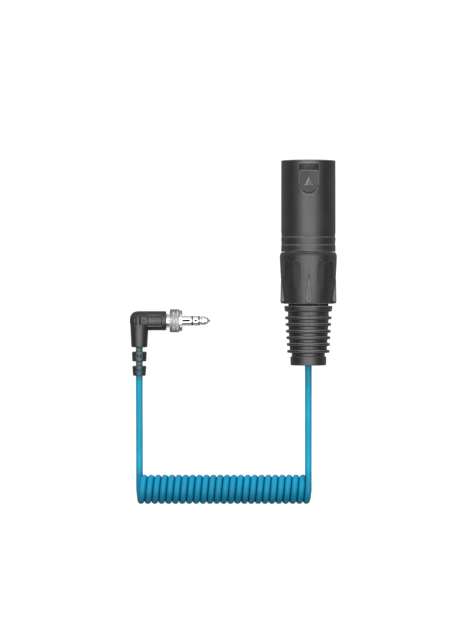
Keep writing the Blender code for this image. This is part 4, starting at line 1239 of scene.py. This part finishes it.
neck_outline = soft([
    (NECK[0], NECK_R, 0.1), (GROOVE[0], NECK_R, 0.05), (GROOVE[0], GROOVE_R, 0.05),
    (GROOVE[1], GROOVE_R, 0.05), (GROOVE[1], NECK_R, 0.05), (NECK[1], NECK_R, 0.12),
    (NECK[1], NECK_BORE_R, 0.05), (NECK[0], NECK_BORE_R, 0.05),
])
neck = local_object("sleeve_neck_detail", spun(neck_outline, 96))
finish_piece(neck, JACK_FRAME, "nickel", ["sleeve_neck"], sharp=25.0)

# %% Lock nut
NUT_START, KNURL_END, CROWN_END = 10.7, 14.0, 15.1
NUT_R, CROWN_R = 4.1, 3.7
NUT_HOLE_R, RING_BORE_R, RING_BORE_END = 2.35, 2.7, 12.9
KNURLS = 40
KNURL_DEPTH, KNURL_PITCH = 0.2, 0.66
KNURL_FADE = 0.3  # the diamonds rise to their whole depth over this length
FLAT_TOPS = 1.5  # 1 would give each diamond a sharp point

nut_outline = soft([
    (NUT_START, NUT_R, 0.25), (KNURL_END, NUT_R, 0.25), (KNURL_END, CROWN_R, 0.08),
    (CROWN_END, CROWN_R, 0.12), (CROWN_END, NUT_HOLE_R, 0.12), (RING_BORE_END, NUT_HOLE_R),
    (RING_BORE_END, RING_BORE_R), (NUT_START, RING_BORE_R, 0.15),
])
nut_bm = spun(finer(nut_outline, 0.09), KNURLS * 7)


def sawtooth(value):
    """0 to 1 and back to 0 over each whole number."""
    return 1.0 - abs(2.0 * (value - math.floor(value)) - 1.0)


for vert in nut_bm.verts:
    x, y, z = vert.co
    radius = math.hypot(x, y)
    if radius < NUT_R - 0.15 or z > KNURL_END - 0.1:
        continue
    round_share = math.atan2(y, x) / (2 * math.pi) * KNURLS
    along = z / KNURL_PITCH
    peak = min(sawtooth(round_share + along), sawtooth(round_share - along))
    fade = min(1.0, (z - NUT_START) / KNURL_FADE, (KNURL_END - z) / KNURL_FADE)
    new_radius = radius - KNURL_DEPTH * (1.0 - min(1.0, FLAT_TOPS * peak)) * max(fade, 0.0)
    vert.co.x, vert.co.y = x * new_radius / radius, y * new_radius / radius
nut = local_object("lock_nut_detail", nut_bm)
print("nut knurled")

# %% Lugs of the nut
LUGS = 6
LUG_GAP = (14.2, 16.0)
LUG_GAP_HALF, LUG_GAP_FLOOR = 0.55, 3.05

lug_gaps = [
    block(LUG_GAP_HALF, *LUG_GAP, LUG_GAP_FLOOR, 5.0, angle=360 * lug / LUGS, bevel=0.1, bevel_at="low")
    for lug in range(LUGS)
]
shape_with(nut, "DIFFERENCE", lug_gaps)
finish_piece(nut, JACK_FRAME, "knurled", ["lock_nut"], body="lock_nut", sharp=35.0)

# %% Jack's tip
JACK_R = 1.75
TIP_REAR, TIP_START, POINT = 2.4, 21.25, 24.9
TIP_ROD_R, TIP_R, POINT_R = 0.4, 1.66, 0.3

tip = soft([
    (TIP_REAR, 0.0), (TIP_REAR, TIP_ROD_R), (TIP_START, TIP_ROD_R), (TIP_START, 1.5, 0.08),
    (21.62, 1.36, 0.2), (22.0, TIP_R, 0.2), (22.4, TIP_R, 0.3), (24.05, 1.15, 0.35),
    (24.5, 0.55, 0.25), (POINT, POINT_R, 0.15), (POINT, 0.0),
], 6, closed=False)
jack_tip = local_object("jack_tip_detail", spun(finer(tip, 0.6, False), 64, False))
finish_piece(jack_tip, JACK_FRAME, "nickel", ["jack_tip"], sharp=50.0)

# %% Bands and rings of the jack
# Each is a thin tube inside the next one, with a wide head at the surface
RING = (18.9, 20.65)
SLEEVE_REAR, SLEEVE_END, SLEEVE_BORE_R = 5.6, 18.3, 1.46
BAND_GAP = 0.05  # between a band and its neighbours
BAND_SINK = 0.03  # of a band under the metal's surface
HEAD_ROUNDING = 0.06

HEADED = (  # piece, solid, material, slot, bore, tube's radius, tube's rear, head's two ends
    ("front_band", "front_insulator", "band", "band_plastic",
     0.5, 0.72, 3.2, RING[1] + BAND_GAP, TIP_START - BAND_GAP),
    ("ring_contact", "jack_ring", "nickel", "nickel", 0.82, 1.04, 4.0, *RING),
    ("rear_band", "rear_insulator", "band", "band_plastic",
     1.14, 1.36, 4.8, SLEEVE_END + BAND_GAP, RING[0] - BAND_GAP),
)
jack_pieces = {}
for name, node, material, slot, bore, tube_r, rear, head, end in HEADED:
    head_r = JACK_R if material == "nickel" else JACK_R - BAND_SINK
    outline = soft([
        (rear, tube_r), (head, tube_r), (head, head_r, HEAD_ROUNDING), (end, head_r, HEAD_ROUNDING),
        (end, bore), (rear, bore),
    ])
    jack_pieces[name] = local_object(name, spun(finer(outline, 0.8), 64))
    finish_piece(jack_pieces[name], JACK_FRAME, material, [node])
sleeve_outline = soft([
    (SLEEVE_REAR, JACK_R), (SLEEVE_END, JACK_R, HEAD_ROUNDING),
    (SLEEVE_END, SLEEVE_BORE_R), (SLEEVE_REAR, SLEEVE_BORE_R),
])
sleeve = local_object("sleeve_contact", spun(finer(sleeve_outline, 0.8), 64))
finish_piece(sleeve, JACK_FRAME, "nickel", ["jack_sleeve"])

# %% [markdown]
# ## What stays inside
#
# The clamp, wires, solder tags and springs inside the plugs keep their engineering shape: they are
# seen only when the plug comes apart. Each gets the finish of its real material.

# %% Materials of the inner pieces
INNER = {
    "chuck": "chuck", "ground_spring": "spring", "nut_ring": "spring", "jack_holder": "insert",
    "wire_screen": "copper", "wire_hot": "wire_red", "wire_cold": "wire_white",
    "wire_tip": "wire_red", "wire_ring": "wire_white", "wire_return": "copper",
    "tip_tag": "tin", "ring_tag": "tin", "sleeve_tag": "tin", "cord_end_xlr": "cord",
}
for node, material in INNER.items():
    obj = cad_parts[node]
    for spot in obj.material_slots:
        spot.material = MATERIALS[material]
print(len(INNER), "inner pieces finished")
